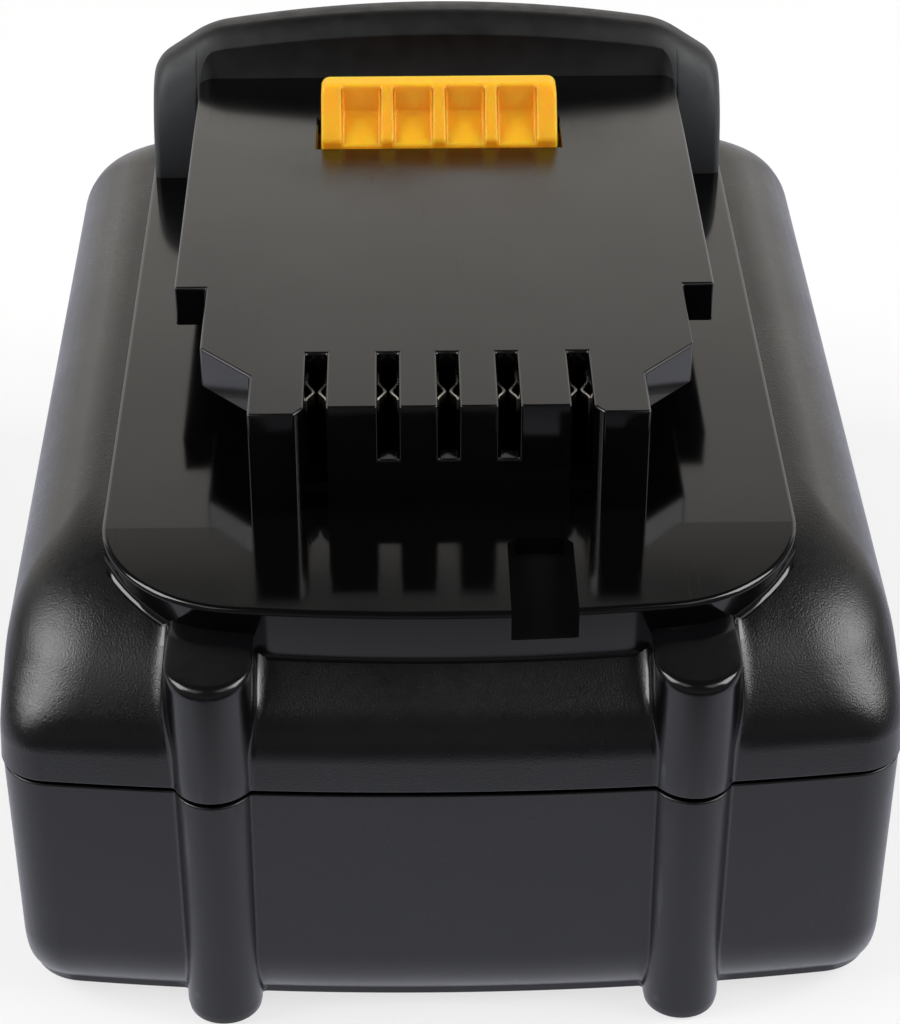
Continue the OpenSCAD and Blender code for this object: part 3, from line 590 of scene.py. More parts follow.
def shoulder_levels():
    """Heights that follow the shoulder's curves and the round edge of the pillars."""
    straight = [PART_Z + SEAM_R + (LOW_Z - PART_Z - SEAM_R) * k / 4 for k in range(5)]
    curved = [LOW_Z + SHOULDER_H * math.sin(a) for a in quarter(48)[1:]]
    front = [MIDDLE_TOP - (MIDDLE_TOP - SHELF_Z) * 0.5 ** k for k in range(1, 6)]
    nose = [NOSE_Z + NOSE_R * math.sin(NOSE_ANGLE * k / 14) for k in range(15)]
    nose += [SHELF_Z - NOSE_RUN / math.tan(NOSE_ANGLE) * k / 12 for k in range(1, 12)]
    edge = [SHELF_Z - SHELF_EDGE_R * (1 - math.sin(a)) for a in quarter(4)[:-1]]
    return sorted(straight + curved + front + nose + edge)


def nose_in(z):
    """How far a pillar's nose has drawn in: an arc that runs into a slope up to its shelf."""
    rise = max(0.0, z - NOSE_Z)
    arc_rise = NOSE_R * math.sin(NOSE_ANGLE)
    if rise <= arc_rise:
        return sagitta(NOSE_R, rise)
    return NOSE_R * (1 - math.cos(NOSE_ANGLE)) + (rise - arc_rise) * math.tan(NOSE_ANGLE)


def pillar_at(z):
    """Radius and fillet of an upper pillar at a height, and how far its nose is drawn in."""
    fillet = blend(FILLET_LOW, FILLET_HIGH, (z - PART_Z) / (NOSE_Z - PART_Z))
    radius = PILLAR_R - sagitta(SHELF_EDGE_R, max(0.0, z - SHELF_Z + SHELF_EDGE_R))
    return radius, fillet, nose_in(z)


def shoulder():
    """The hollow rounded body of the upper case, with its four pillars."""
    inner_wall = WALL - PART_STEP
    shelf_pillar = pillar_at(SHELF_Z)
    rings = []
    for angle in quarter(11):
        z = LOW_Z + SHOULDER_H * math.cos(angle)
        rings.append(shoulder_ring(z, inner_wall, DECK_T, (*LOW_PILLAR, False)))
    rings.append(shoulder_ring(PART_Z, inner_wall, 0.0, (*LOW_PILLAR, False)))
    for angle in quarter(4)[:-1]:
        inset = SEAM_R * (1 - math.sin(angle))
        z = PART_Z + SEAM_R * (1 - math.cos(angle))
        rings.append(shoulder_ring(z, inset, 0.0, (PILLAR_R - inset, FILLET_LOW, 0.0, True)))
    stands = True
    for z in shoulder_levels():
        if z > SHELF_Z and stands:
            for stands in (True, False):
                rings.append(shoulder_ring(SHELF_Z, 0.0, 0.0, (*shelf_pillar, stands)))
        pillar = pillar_at(z) if stands else shelf_pillar
        rings.append(shoulder_ring(z, 0.0, 0.0, (*pillar, stands)))
    obj = loft("shoulder", rings)
    combine(obj, prism("deck_space", deck_outline(DECK_T), LOW_Z, HOOD_Z), "DIFFERENCE")
    return obj


def lower_ring(z, inset, pillar, side_inset=None):
    """The tray at a height, drawn in by an inset that may differ at its sides."""
    reach = END_Y - PART_STEP - inset
    half_w = HALF_W - SIDE_STEP - (inset if side_inset is None else side_inset)
    corner_r = CORNER_R - inset / 2
    if side_inset is not None:
        corner_r = CORNER_R - DRAFT / 2 + FOOT_CORNER * min(1.0, (inset - DRAFT) / FOOT_IN)
    return case_ring(z, half_w, reach, reach, (corner_r, corner_r), pillar)


def lower_case():
    """The tray, drawn from its floor's inside over its rim and round its foot."""
    top = PART_Z - SEAM_GAP
    rings = []
    for z in (FLOOR_T, PART_Z + TONGUE_H):
        rings.append(lower_ring(z, WALL, (*LOW_PILLAR, False)))
    tongue_out = (WALL + PART_STEP) / 2
    for z in (PART_Z + TONGUE_H, top):
        rings.append(lower_ring(z, tongue_out, (*LOW_PILLAR, False)))
    radius = PILLAR_R - PART_STEP / 2
    for angle in quarter(4):
        inset = SEAM_R * (1 - math.sin(angle))
        z = top - SEAM_R * (1 - math.cos(angle))
        rings.append(lower_ring(z, inset, (radius - inset, FILLET_LOW, 0.0, True)))
    height = top - SEAM_R - FOOT_CURVE_Z
    for k in range(1, 9):
        share = k / 8
        pillar = (radius + (PILLAR_LOW_R - radius) * share, FILLET_LOW, 0.0, True)
        rings.append(lower_ring(top - SEAM_R - height * share, DRAFT * share, pillar))
    steps = 16
    turn = math.radians(FOOT_TURN)
    foot = []
    for k in range(1, steps + 1):
        angle = turn * k / steps
        foot.append((FOOT_CURVE_Z - FOOT_CURVE_R * math.sin(angle), FOOT_CURVE_R * (1 - math.cos(angle))))
    foot += [(FOOT_EDGE, FOOT_IN), (0.0, FOOT_IN + FOOT_EDGE)]
    for z, inset in foot:
        radius = PILLAR_LOW_R - sagitta(FOOT_R, max(0.0, FOOT_R - z))
        side_inset = DRAFT + sagitta(FOOT_SIDE_R, max(0.0, FOOT_SIDE_R - z))
        rings.append(lower_ring(z, DRAFT + inset, (radius, FILLET_LOW, 0.0, True), side_inset))
    obj = loft("lower_case_moulding", rings)
    for x in (-SCREW_X, SCREW_X):
        for y in (-SCREW_Y, SCREW_Y):
            combine(obj, screw_hole(x, y), "DIFFERENCE")
    return obj


def lathe(name, profile, x, y):
    """A turned solid on an upright axis, from radii and heights."""
    steps = 32
    rings = []
    for radius, z in profile:
        turns = [2 * math.pi * k / steps for k in range(steps)]
        rings.append([(x + radius * math.cos(a), y + radius * math.sin(a), z) for a in turns])
    return loft(name, rings)


def screw_hole(x, y):
    """A counterbore with a small lead-in at its mouth."""
    head = 2.3
    shank = 1.4
    seat = 2.2
    mouth = 0.1
    profile = [(head + mouth, -0.5), (head + mouth, 0.0), (head, mouth), (head, seat), (shank, seat),
               (shank, PART_Z + TONGUE_H + 1)]
    return lathe("screw_hole", profile, x, y)


# Deck

def deck_outline(inset=0.0):
    """The deck from its back right corner round its back, its left side and its bowed front."""
    front = end_outline(DECK_HALF_W - inset, DECK_FRONT - inset, DECK_CORNER_R - inset, DECK_BOW)
    back = HOOD_FRONT + 2 * HOOD_WALL - inset
    half_w = DECK_HALF_W - inset
    points = [(x, -out) for x, out in front]
    start = points[-1][1]
    steps = 24
    points += [(half_w, start + (back - start) * k / steps) for k in range(1, steps + 1)]
    points += [(-half_w, back + (start - back) * k / steps) for k in range(steps)]
    return points


def outward(points):
    """Unit vectors that point out of a closed outline that runs anticlockwise."""
    found = []
    for k in range(len(points)):
        before = Vector(points[k - 1])
        after = Vector(points[(k + 1) % len(points)])
        along = (after - before).normalized()
        found.append((along.y, -along.x))
    return found


def rolling_foot(tree, point, direction, radius):
    """Centre height and end angle of a fillet between an upright wall and the shoulder below it."""
    best = None
    steps = 80
    for k in range(steps + 1):
        run = 2 * radius * k / steps
        x = point[0] + direction[0] * run
        y = point[1] + direction[1] * run
        hit = tree.ray_cast(Vector((x, y, 2 * HOOD_Z)) * MM, Vector((0, 0, -1)))[0]
        if hit is None:
            continue
        rise = math.sqrt(max(0.0, radius ** 2 - (run - radius) ** 2))
        if best is None or hit.z / MM + rise > best[0]:
            best = (hit.z / MM + rise, run)
    height, run = best
    return height, math.acos(max(-1.0, min(1.0, (run - radius) / radius)))


def deck_fall(y):
    """How far the deck's front strip has fallen at a place."""
    return DECK_FALL * max(0.0, DECK_CREASE - y) / DECK_FALL_RUN


def deck():
    """The raised deck: a round lip, an upright wall and a fillet at its foot."""
    guide = loft("guide", [shoulder_ring(z) for z in shoulder_levels()])
    built = bmesh.new()
    built.from_mesh(guide.data)
    tree = BVHTree.FromBMesh(built)
    built.free()
    bpy.data.objects.remove(guide)
    outline = deck_outline()
    normals = outward(outline)
    radii = [blend(DECK_FOOT_R, DECK_SIDE_FOOT_R, (abs(p[0]) - PILLAR_X) / PILLAR_R) for p in outline]
    found = [rolling_foot(tree, p, n, r) for p, n, r in zip(outline, normals, radii)]
    feet = []
    for k in range(len(found)):
        near = [found[(k + step) % len(found)] for step in (-2, -1, 0, 1, 2)]
        height, angle = [sum(foot[part] for foot in near) / len(near) for part in (0, 1)]
        feet.append((height + DECK_FOOT_LIFT, angle))

    def ring(out, height):
        """One ring, from how far out and how high each of its points lies."""
        return [(p[0] + n[0] * out(k), p[1] + n[1] * out(k), height(k))
                for k, (p, n) in enumerate(zip(outline, normals))]

    def top(k):
        return DECK_Z - deck_fall(outline[k][1])

    rings = []
    for angle in quarter(6):
        rings.append(ring(lambda k: -DECK_LIP_R * (1 - math.sin(angle)),
                          lambda k: top(k) - DECK_LIP_R * (1 - math.cos(angle))))
    for step in range(9):
        turns = [math.pi + (math.pi - foot[1]) * step / 8 for foot in feet]
        rings.append(ring(lambda k: radii[k] * (1 + math.cos(turns[k])),
                          lambda k: min(feet[k][0], top(k) - DECK_LIP_R) + radii[k] * math.sin(turns[k])))
    last = rings[-1]
    rings.append([(x, y, z - DECK_SKIRT) for x, y, z in last])
    rings.append([(p[0] - n[0], p[1] - n[1], min(last[k][2] - DECK_SKIRT, DECK_Z - DECK_T))
                  for k, (p, n) in enumerate(zip(outline, normals))])
    obj = loft("deck", rings)
    split_flat(obj, DECK_CREASE)
    bed = notch_space(NOTCH_WALL - DECK_FRONT, DECK_Z - 2 * DECK_LIP_R, NOTCH_WALL, NOTCH_BED_T)
    combine(obj, bed, "UNION")
    combine(obj, notch_space(-2 * OVER - DECK_FRONT, DECK_Z + 3 * OVER), "DIFFERENCE")
    combine(obj, tower_space(LOW_Z), "DIFFERENCE")
    return obj


def split_flat(obj, y):
    """Cuts a piece's faces along a line across it, which stays as a crease."""
    def cut(built):
        geometry = built.verts[:] + built.edges[:] + built.faces[:]
        bmesh.ops.bisect_plane(built, geom=geometry, plane_co=(0, y * MM, 0), plane_no=(0, 1, 0))

    edit_mesh(obj, cut)


def notch_space(front, high, wall=0.0, below=0.0):
    """The lock notch, whose floor falls towards the front, or with a wall and a floor below, its bed."""
    left = NOTCH_X - NOTCH_W / 2 - wall
    right = NOTCH_X + NOTCH_W / 2 + wall
    back = NOTCH_L - DECK_FRONT + wall
    corner = 0.8
    rings = []
    for top in (False, True):
        ring = []
        for x, y in ((left, front), (right, front), (right, back - corner), (right - corner, back),
                     (left + corner, back), (left, back - corner)):
            share = (y + DECK_FRONT) / NOTCH_L
            floor = NOTCH_FRONT_DEPTH + (NOTCH_BACK_DEPTH - NOTCH_FRONT_DEPTH) * share + below
            ring.append((x, y, high if top else DECK_Z - floor))
        rings.append(ring)
    return loft("notch", rings)


# Rail tower

def tower_space(low):
    """The hollow inside of the tower."""
    inside = CORE_HALF_W - TOWER_WALL
    front = RECESS_DEPTH + TOWER_WALL - TOWER_FRONT
    corner = (inside, HOOD_BACK - HOOD_WALL, TOWER_Z - TOWER_TOP_T)
    return block("tower_space", (-inside, front, low), corner)


def comb_front(slots):
    """The tower's front edge from left to right, with its recessed middle and its slots."""
    front = -TOWER_FRONT
    recess = front + RECESS_DEPTH
    edge = RECESS_HALF_W + RECESS_SLANT
    points = [(-edge, front), (-RECESS_HALF_W, recess)]
    half = SLOT_W / 2
    for x in slots:
        end = front + SLOT_L
        points += [(x - half, recess), (x - half, end), (x + half, end), (x + half, recess)]
    return points + [(RECESS_HALF_W, recess), (edge, front)]


def tower():
    """The T-shaped rail: a core with five open slots, and a flange along each side."""
    slots = [-OUTER_SLOT_X, -INNER_SLOT_X, 0.0, INNER_SLOT_X, OUTER_SLOT_X]
    back = HOOD_FRONT + HOOD_WALL
    right = [(CORE_HALF_W, -TOWER_FRONT), (CORE_HALF_W, back)]
    left = [(-x, y) for x, y in reversed(right)]
    obj = prism("tower", left + comb_front(slots) + right, DECK_Z - DECK_T, TOWER_Z)
    plain_y = PLAIN_L - TOWER_FRONT
    wide_y = WIDE_START - TOWER_FRONT
    root = CORE_HALF_W - OVER
    flange = [(root, plain_y), (CORE_HALF_W, plain_y), (NARROW_HALF_W, plain_y + DIAGONAL_L),
              (NARROW_HALF_W, wide_y), (FLANGE_HALF_W, wide_y), (FLANGE_HALF_W, back), (root, back)]
    for outline in (flange, [(-x, y) for x, y in reversed(flange)]):
        combine(obj, prism("flange", outline, FLANGE_Z, TOWER_Z), "UNION")
    for x in slots[1:-1]:
        front = RECESS_DEPTH - TOWER_FRONT
        half = SLOT_W / 2 + SILL_GRIP
        sill = block("sill", (x - half, front, DECK_Z - OVER), (x + half, front + TOWER_WALL, SLOT_SILL))
        combine(obj, sill, "UNION")
    combine(obj, tower_space(LOW_Z), "DIFFERENCE")
    combine(obj, latch_space(), "DIFFERENCE")
    round_edges(obj, TOWER_EDGE_R)
    return obj


def latch_space():
    """The opening in the tower's top that the hook stands in."""
    half = LATCH_W / 2 + LATCH_GAP
    return block("latch_space", (-half, LATCH_FRONT - LATCH_GAP, TOWER_Z - TOWER_TOP_T - OVER),
                 (half, LATCH_BACK + LATCH_GAP, TOWER_Z + OVER))


# Hood

def hood_places():
    """Places across the right half of the hood, closer together where it curves."""
    crown = [HOOD_CROWN_X * k / 12 for k in range(13)]
    turn = [HOOD_CROWN_X + (SLANT_X - HOOD_CROWN_X) * k / 6 for k in range(1, 7)]
    angles = [SLANT + (math.pi / 2 - SLANT) * k / 14 for k in range(15)]
    corner = [CORNER_X + HOOD_CORNER_R * (math.sin(a) - math.sin(SLANT)) for a in angles]
    inner = [WING_INNER - NICHE_CORNER * (1 - math.sin(a)) for a in quarter(10)]
    inner += [WING_INNER + WING_INNER_R * (1 - math.cos(a)) for a in quarter(4)[1:]]
    edge = [HOOD_HALF_W - WING_EDGE_R * (1 - math.sin(a)) for a in quarter(6)[:-1]]
    return sorted(set(round(x, 4) for x in crown + turn + corner + inner + edge))


def roof_z(x):
    """Height of the hood's roof: a flat crown, a round turn, a slant and a round corner."""
    top = HOOD_Z - HOOD_CROWN * min(x, HOOD_CROWN_X) ** 2
    if x <= HOOD_CROWN_X:
        return top
    lean = math.sin(CROWN_TURN) + (min(x, SLANT_X) - HOOD_CROWN_X) / HOOD_TURN_R
    top -= HOOD_TURN_R * (math.cos(CROWN_TURN) - math.sqrt(1 - lean * lean))
    top -= math.tan(SLANT) * max(0.0, min(x, CORNER_X) - SLANT_X)
    if x <= CORNER_X:
        return top
    lean = min(1.0, math.sin(SLANT) + (x - CORNER_X) / HOOD_CORNER_R)
    return top - HOOD_CORNER_R * (math.cos(SLANT) - math.sqrt(1 - lean * lean))


def hood_profile(x, low):
    """The hood cut along its length: lengths and heights from its front foot over its roof to its back.
    Its front leans back in an ellipse, and between the wings an upright wall cuts it off."""
    roof = roof_z(x)
    rise = roof - DECK_Z
    inner = sagitta(WING_INNER_R, max(0.0, WING_INNER_R - abs(x - WING_INNER)))
    outer = max(0.0, x - HOOD_HALF_W + WING_EDGE_R)
    share = min(1.0, max(0.0, (x - WING_INNER + NICHE_CORNER) / NICHE_CORNER))
    wall = NICHE_Y - (NICHE_Y - WING_FRONT) * sagitta(1.0, share)
    start = WING_FRONT + sagitta(WING_EDGE_R, outer)
    first = math.acos(1 - min(1.0, max(0.0, wall - start) / WING_RUN)) if x < WING_INNER else 0.0
    back = HOOD_BACK - END_BOW * (x / HALF_W) ** 2
    back -= sagitta(HOOD_SIDE_R, max(0.0, x - HOOD_HALF_W + HOOD_SIDE_R))
    front_y = max(start, wall) if x < WING_INNER else start
    points = [(front_y + inner, low)]
    for k in range(21):
        angle = first + (math.pi / 2 - first) * k / 20
        y = start + WING_RUN * (1 - math.cos(angle)) + inner * math.cos(angle) ** 3
        points.append((y, DECK_Z + rise * math.sin(angle)))
    top_y = start + WING_RUN
    for a in quarter(16)[1:]:
        points.append((top_y + (back - top_y) * math.sin(a), roof - HOOD_BACK_R * (1 - math.cos(a))))
    points.append((back - HOOD_FOOT_IN, low))
    return points


def hood():
    """The upright guard behind the latch, with a wing at each side of the tower."""
    low = LOW_Z + 6
    places = hood_places()
    rings = [[(-x, y, z) for y, z in hood_profile(x, low)] for x in reversed(places[1:])]
    rings += [[(x, y, z) for y, z in hood_profile(x, low)] for x in places]
    obj = loft("hood", rings)
    inside = HOOD_HALF_W - HOOD_BACK_R
    space = block("hood_space", (-inside, HOOD_FRONT + HOOD_WALL, low - OVER),
                  (inside, HOOD_BACK - HOOD_WALL, TOWER_Z))
    for cutter in (space, neck_space(), thumb_window()):
        combine(obj, cutter, "DIFFERENCE")
    return obj


def neck_space():
    """The way through the hood's front wall for the latch's neck, which shows nowhere."""
    half = NECK_HALF_W + 1
    return block("neck_space", (-half, HOOD_FRONT - OVER, LOW_Z),
                 (half, HOOD_FRONT + HOOD_WALL + OVER, TOWER_Z - TOWER_TOP_T))


def thumb_window():
    """The opening at the back of the hood that the thumb pad moves in."""
    half = THUMB_W / 2 + LATCH_GAP
    bottom = THUMB_Z - LATCH_RISE - LATCH_GAP
    return block("thumb_window", (-half, HOOD_BACK - HOOD_WALL - OVER, bottom),
                 (half, HOOD_BACK + 2 * OVER, THUMB_Z + THUMB_H + LATCH_GAP))


# Release latch

def latch():
    """The ribbed hook, its inner plate and neck, and the grooved thumb pad."""
    obj = hook()
    riser_y = HOOD_BACK - HOOD_WALL - 1
    top = PLATE_Z + PLATE_T
    plate = block("plate", (-PLATE_HALF_W, LATCH_LOW.y, PLATE_Z), (PLATE_HALF_W, PLATE_BACK, top))
    neck = block("neck", (-NECK_HALF_W, LATCH_FRONT, PLATE_Z + NECK_INSET),
                 (NECK_HALF_W, riser_y + RISER_T, top - NECK_INSET))
    for other in (plate, neck, thumb_pad(riser_y)):
        combine(obj, other, "UNION")
    for x in (-SPRING_X, SPRING_X):
        pocket = [(SPRING_POCKET_R, PLATE_Z - OVER), (SPRING_POCKET_R, PLATE_Z + SPRING_POCKET_H)]
        combine(obj, lathe("pocket", pocket, x, LATCH_BACK - BAR_L), "DIFFERENCE")
    round_edges(obj, LATCH_EDGE_R, 4)
    return obj


def hook():
    """The ramped hook with open pockets between its ribs."""
    low = PLATE_Z + OVER
    bar_y = LATCH_BACK - BAR_L
    profile = [(LATCH_FRONT, low), (LATCH_BACK, low), (LATCH_BACK, LATCH_TOP), (bar_y, LATCH_TOP),
               (LATCH_FRONT, HOOK_FOOT_Z)]
    obj = across_prism("release_latch_moulding", profile, -LATCH_W / 2, LATCH_W / 2)
    combine(obj, rounded_top(), "INTERSECT")
    pockets = RIB_COUNT - 1
    width = (LATCH_W - 2 * END_RIB_T - (RIB_COUNT - 2) * RIB_T) / pockets
    front = LATCH_FRONT - OVER
    slope = (POCKET_FLOOR - POCKET_LOW) / (bar_y - front)
    pocket = [(front, POCKET_LOW),
              (bar_y - POCKET_LEAN - POCKET_TURN, POCKET_FLOOR - (POCKET_LEAN + POCKET_TURN) * slope),
              (bar_y - POCKET_LEAN, POCKET_FLOOR + POCKET_TURN_RISE),
              (bar_y, LATCH_TOP - POCKET_LIP), (bar_y, LATCH_TOP + OVER), (front, LATCH_TOP + OVER)]
    for k in range(pockets):
        start = -LATCH_W / 2 + END_RIB_T + k * (width + RIB_T)
        combine(obj, across_prism("pocket", pocket, start, start + width), "DIFFERENCE")
    return obj


def rounded_top():
    """The room the hook fills, with its two upper corners rounded."""
    half = LATCH_W / 2
    outline = [(half, PLATE_Z)]
    for a in quarter(6):
        outline.append((half - TOP_R * (1 - math.cos(a)), LATCH_TOP - TOP_R * (1 - math.sin(a))))
    outline += [(-x, z) for x, z in reversed(outline)]
    ends = (LATCH_FRONT - OVER, LATCH_BACK + OVER)
    return loft("rounded_top", [[(x, y, z) for x, z in outline] for y in ends])


def thumb_pad(front):
    """The pad in the back window, with a grip of grooves across it."""
    low = PLATE_Z + NECK_INSET
    back = front + RISER_T
    profile = [(front, low), (back, low), (back, THUMB_Z), (THUMB_BACK, THUMB_Z)]
    for k in range(1, GROOVES + 1):
        middle = THUMB_Z + THUMB_H * k / (GROOVES + 1)
        for step in range(9):
            angle = math.pi * step / 8
            profile.append((THUMB_BACK - GROOVE_R * math.sin(angle), middle - GROOVE_R * math.cos(angle)))
    profile += [(THUMB_BACK, THUMB_Z + THUMB_H), (front, THUMB_Z + THUMB_H)]
    return across_prism("thumb_pad", profile, -THUMB_W / 2, THUMB_W / 2)


def across_prism(name, profile, left, right):
    """A prism on a side profile of lengths and heights, from one side to the other."""
    return loft(name, [[(x, y, z) for y, z in profile] for x in (left, right)])


def spring(node):
    """A coil of round wire on an upright axis."""
    low, high = node_box(node)
    wire_r = SPRING_WIRE / 2
    coil_r = (high.x - low.x) / 2 - wire_r
    steps = 28
    count = SPRING_TURNS * steps
    rings = []
    for k in range(count + 1):
        turn = 2 * math.pi * k / steps
        rise = low.z + wire_r + (high.z - low.z - SPRING_WIRE) * k / count
        ring = []
        for side in range(10):
            angle = 2 * math.pi * side / 10
            out = coil_r + wire_r * math.cos(angle)
            x = (low.x + high.x) / 2 + out * math.cos(turn)
            y = (low.y + high.y) / 2 + out * math.sin(turn)
            ring.append((x, y, rise + wire_r * math.sin(angle)))
        rings.append(ring)
    return loft(node + "_coil", rings)


# Terminal clips

def clip(node):
    """Two sprung leaves that pinch the tool's blade, on a folded foot."""
    low, high = node_box(node)
    middle = (low.x + high.x) / 2
    pinch_y = low.y + CLIP_IN
    back_l = high.y - pinch_y
    reach = [-CLIP_TIP * k / 8 for k in range(8, 0, -1)] + [back_l * (k / 16) ** 1.6 for k in range(17)]
    half = []
    for run in reach:
        slope = CLIP_FLARE if run < 0 else CLIP_SPREAD
        half.append((min(CLIP_OPEN, math.hypot(CLIP_PINCH, slope * run)), pinch_y + run))
    leaves = []
    for side in (-1, 1):
        outline = [(middle + side * gap, y) for gap, y in half]
        outline += [(middle + side * (gap + CLIP_T), y) for gap, y in reversed(half)]
        leaves.append(prism(node + "_clip", outline, low.z, high.z))
    wide = CLIP_OPEN + CLIP_T
    foot = block("foot", (middle - wide, high.y - 2 * wide, low.z),
                 (middle + wide, high.y, low.z + 2 * CLIP_T))
    obj = leaves[0]
    for other in (leaves[1], foot):
        combine(obj, other, "UNION")
    round_edges(obj, CLIP_EDGE_R, 2)
    return obj


# Materials

def new_material(name, colour, roughness, metallic=0.0):
    """A material with its nodes and its shader."""
    material = bpy.data.materials.new(name)
    material.use_nodes = True
    tree = material.node_tree
    shader = tree.nodes["Principled BSDF"]
    shader.inputs["Base Color"].default_value = (*colour, 1)
    shader.inputs["Roughness"].default_value = roughness
    shader.inputs["Metallic"].default_value = metallic
    return material, tree, shader


def object_place(tree):
    """Places in the object's own space, in metres."""
    return tree.nodes.new("ShaderNodeTexCoord").outputs["Object"]


def axes(tree, places):
    """The three parts of places."""
    node = tree.nodes.new("ShaderNodeSeparateXYZ")
    tree.links.new(places, node.inputs["Vector"])
    return node.outputs


def noise(tree, size_mm, detail=2.0, places=None):
    """Noise with grains of about this size."""
    node = tree.nodes.new("ShaderNodeTexNoise")
    node.inputs["Scale"].default_value = 1 / (size_mm * MM)
    node.inputs["Detail"].default_value = detail
    tree.links.new(object_place(tree) if places is None else places, node.inputs["Vector"])
    return node.outputs["Fac"]


def streaks(tree, size_mm, stretch):
    """Noise drawn out along the length of the pack, as fine scratches are."""
    turn = tree.nodes.new("ShaderNodeMapping")
    turn.inputs["Rotation"].default_value = (0, 0, math.radians(8))
    turn.inputs["Scale"].default_value = (1, 1 / stretch, 1)
    tree.links.new(object_place(tree), turn.inputs["Vector"])
    return noise(tree, size_mm, 3.0, turn.outputs["Vector"])


def spread(tree, value, low, high, start=0.3, stop=0.7):
    """Maps a value onto a range."""
    node = tree.nodes.new("ShaderNodeMapRange")
    node.inputs["From Min"].default_value = start
    node.inputs["From Max"].default_value = stop
    node.inputs["To Min"].default_value = low
    node.inputs["To Max"].default_value = high
    tree.links.new(value, node.inputs["Value"])
    return node.outputs["Result"]


def add(tree, first, second):
    node = tree.nodes.new("ShaderNodeMath")
    node.operation = "ADD"
    tree.links.new(first, node.inputs[0])
    tree.links.new(second, node.inputs[1])
    return node.outputs["Value"]


def tint(tree, shader, share, colour, other):
    """Colours the surface from one colour to another by a share."""
    node = tree.nodes.new("ShaderNodeMix")
    node.data_type = "RGBA"
    node.inputs["A"].default_value = (*colour, 1)
    node.inputs["B"].default_value = (*other, 1)
    tree.links.new(share, node.inputs["Factor"])
    tree.links.new(node.outputs["Result"], shader.inputs["Base Color"])


def tint_by_height(tree, shader, low_colour, high_colour, low_z, high_z, ragged):
    """Colours the surface from one colour to another over a range of heights with ragged limits."""
    size, reach = ragged
    uneven = spread(tree, noise(tree, size), -reach * MM, reach * MM)
    height = add(tree, axes(tree, object_place(tree))["Z"], uneven)
    tint(tree, shader, spread(tree, height, 0.0, 1.0, low_z * MM, high_z * MM), low_colour, high_colour)


def roughen(tree, shader, value, low, high, start=0.3, stop=0.7):
    """Varies the roughness over a range by a value."""
    tree.links.new(spread(tree, value, low, high, start, stop), shader.inputs["Roughness"])


def edge_wear(tree):
    """A share that rises on sharp outer edges."""
    geometry = tree.nodes.new("ShaderNodeNewGeometry")
    return spread(tree, geometry.outputs["Pointiness"], 0.0, 1.0, 0.52, 0.62)


def bump(tree, shader, value, height_mm):
    """Raises the surface by a value, up to a height."""
    node = tree.nodes.new("ShaderNodeBump")
    node.inputs["Distance"].default_value = height_mm * MM
    tree.links.new(value, node.inputs["Height"])
    tree.links.new(node.outputs["Normal"], shader.inputs["Normal"])


def moulded_plastic(name, colour, worn, roughness, grain_mm, grain_height_mm):
    """Moulded plastic: spark-eroded grain, a finish that varies a little, and paler worn edges."""
    material, tree, shader = new_material(name, colour, roughness)
    shader.inputs["IOR"].default_value = 1.5
    coarse = spread(tree, noise(tree, 9.0), -0.03, 0.03)
    fine = spread(tree, noise(tree, 0.8), -0.02, 0.02)
    roughen(tree, shader, add(tree, coarse, fine), roughness - 0.05, roughness + 0.05, -0.05, 0.05)
    tint(tree, shader, edge_wear(tree), colour, worn)
    bump(tree, shader, noise(tree, grain_mm, 2.0), grain_height_mm)
    return material


def plastic_painted_light_below(name, colour, painted_light_colour, low_z, high_z, roughness):
    """Dull plastic painted paler below, painted light on its lower front, with fine grain."""
    material, tree, shader = new_material(name, colour, roughness)
    shader.inputs["Specular IOR Level"].default_value = 0.3
    tint_by_height(tree, shader, painted_light_colour, colour, low_z, high_z, (3.0, 0.8))
    roughen(tree, shader, noise(tree, 2.0), roughness - 0.05, roughness + 0.05)
    bump(tree, shader, noise(tree, 0.22, 2.0), 0.012)
    return material


def less_shine(material, level):
    """Takes back the mirror part of a plastic's look."""
    material.node_tree.nodes["Principled BSDF"].inputs["Specular IOR Level"].default_value = level


def glow_through(material, reach):
    """Lets light pass a little way through a bright plastic."""
    shader = material.node_tree.nodes["Principled BSDF"]
    shader.inputs["Subsurface Weight"].default_value = 1.0
    shader.inputs["Subsurface Radius"].default_value = reach
    shader.inputs["Subsurface Scale"].default_value = 2.5 * MM


def polished_plastic(name, colour, worn, roughness):
    """Glossy moulded plastic with faint smudges, handling scratches and worn edges."""
    material, tree, shader = new_material(name, colour, roughness)
    shader.inputs["IOR"].default_value = 1.5
    smudges = spread(tree, noise(tree, 14.0, 4.0), roughness * 0.8, roughness * 1.4, 0.4, 0.75)
    scratches = spread(tree, streaks(tree, 0.25, 60), 0.0, 0.06, 0.62, 0.75)
    tree.links.new(add(tree, smudges, scratches), shader.inputs["Roughness"])
    tint(tree, shader, edge_wear(tree), colour, worn)
    bump(tree, shader, noise(tree, 5.0, 1.0), 0.003)
    return material


def metal_painted_shade_below(name, colour, low_colour, low_z, high_z, roughness):
    """Metal painted darker and coppery towards the foot: painted shade deep in the slots, with a copper
    tint.
    """
    material, tree, shader = new_material(name, colour, roughness, 1.0)
    tint_by_height(tree, shader, low_colour, colour, low_z, high_z, (1.0, 0.4))
    roughen(tree, shader, noise(tree, 0.5), roughness * 0.7, roughness * 1.3)
    bump(tree, shader, streaks(tree, 0.1, 12), 0.002)
    return material


def plain_metal(name, colour, dull, roughness):
    """Drawn or rolled metal with fine streaks and duller patches."""
    material, tree, shader = new_material(name, colour, roughness, 1.0)
    tint(tree, shader, spread(tree, noise(tree, 4.0, 3.0), 0.0, 1.0), colour, dull)
    roughen(tree, shader, streaks(tree, 0.2, 20), roughness * 0.7, roughness * 1.4)
    bump(tree, shader, streaks(tree, 0.15, 20), 0.003)
    return material


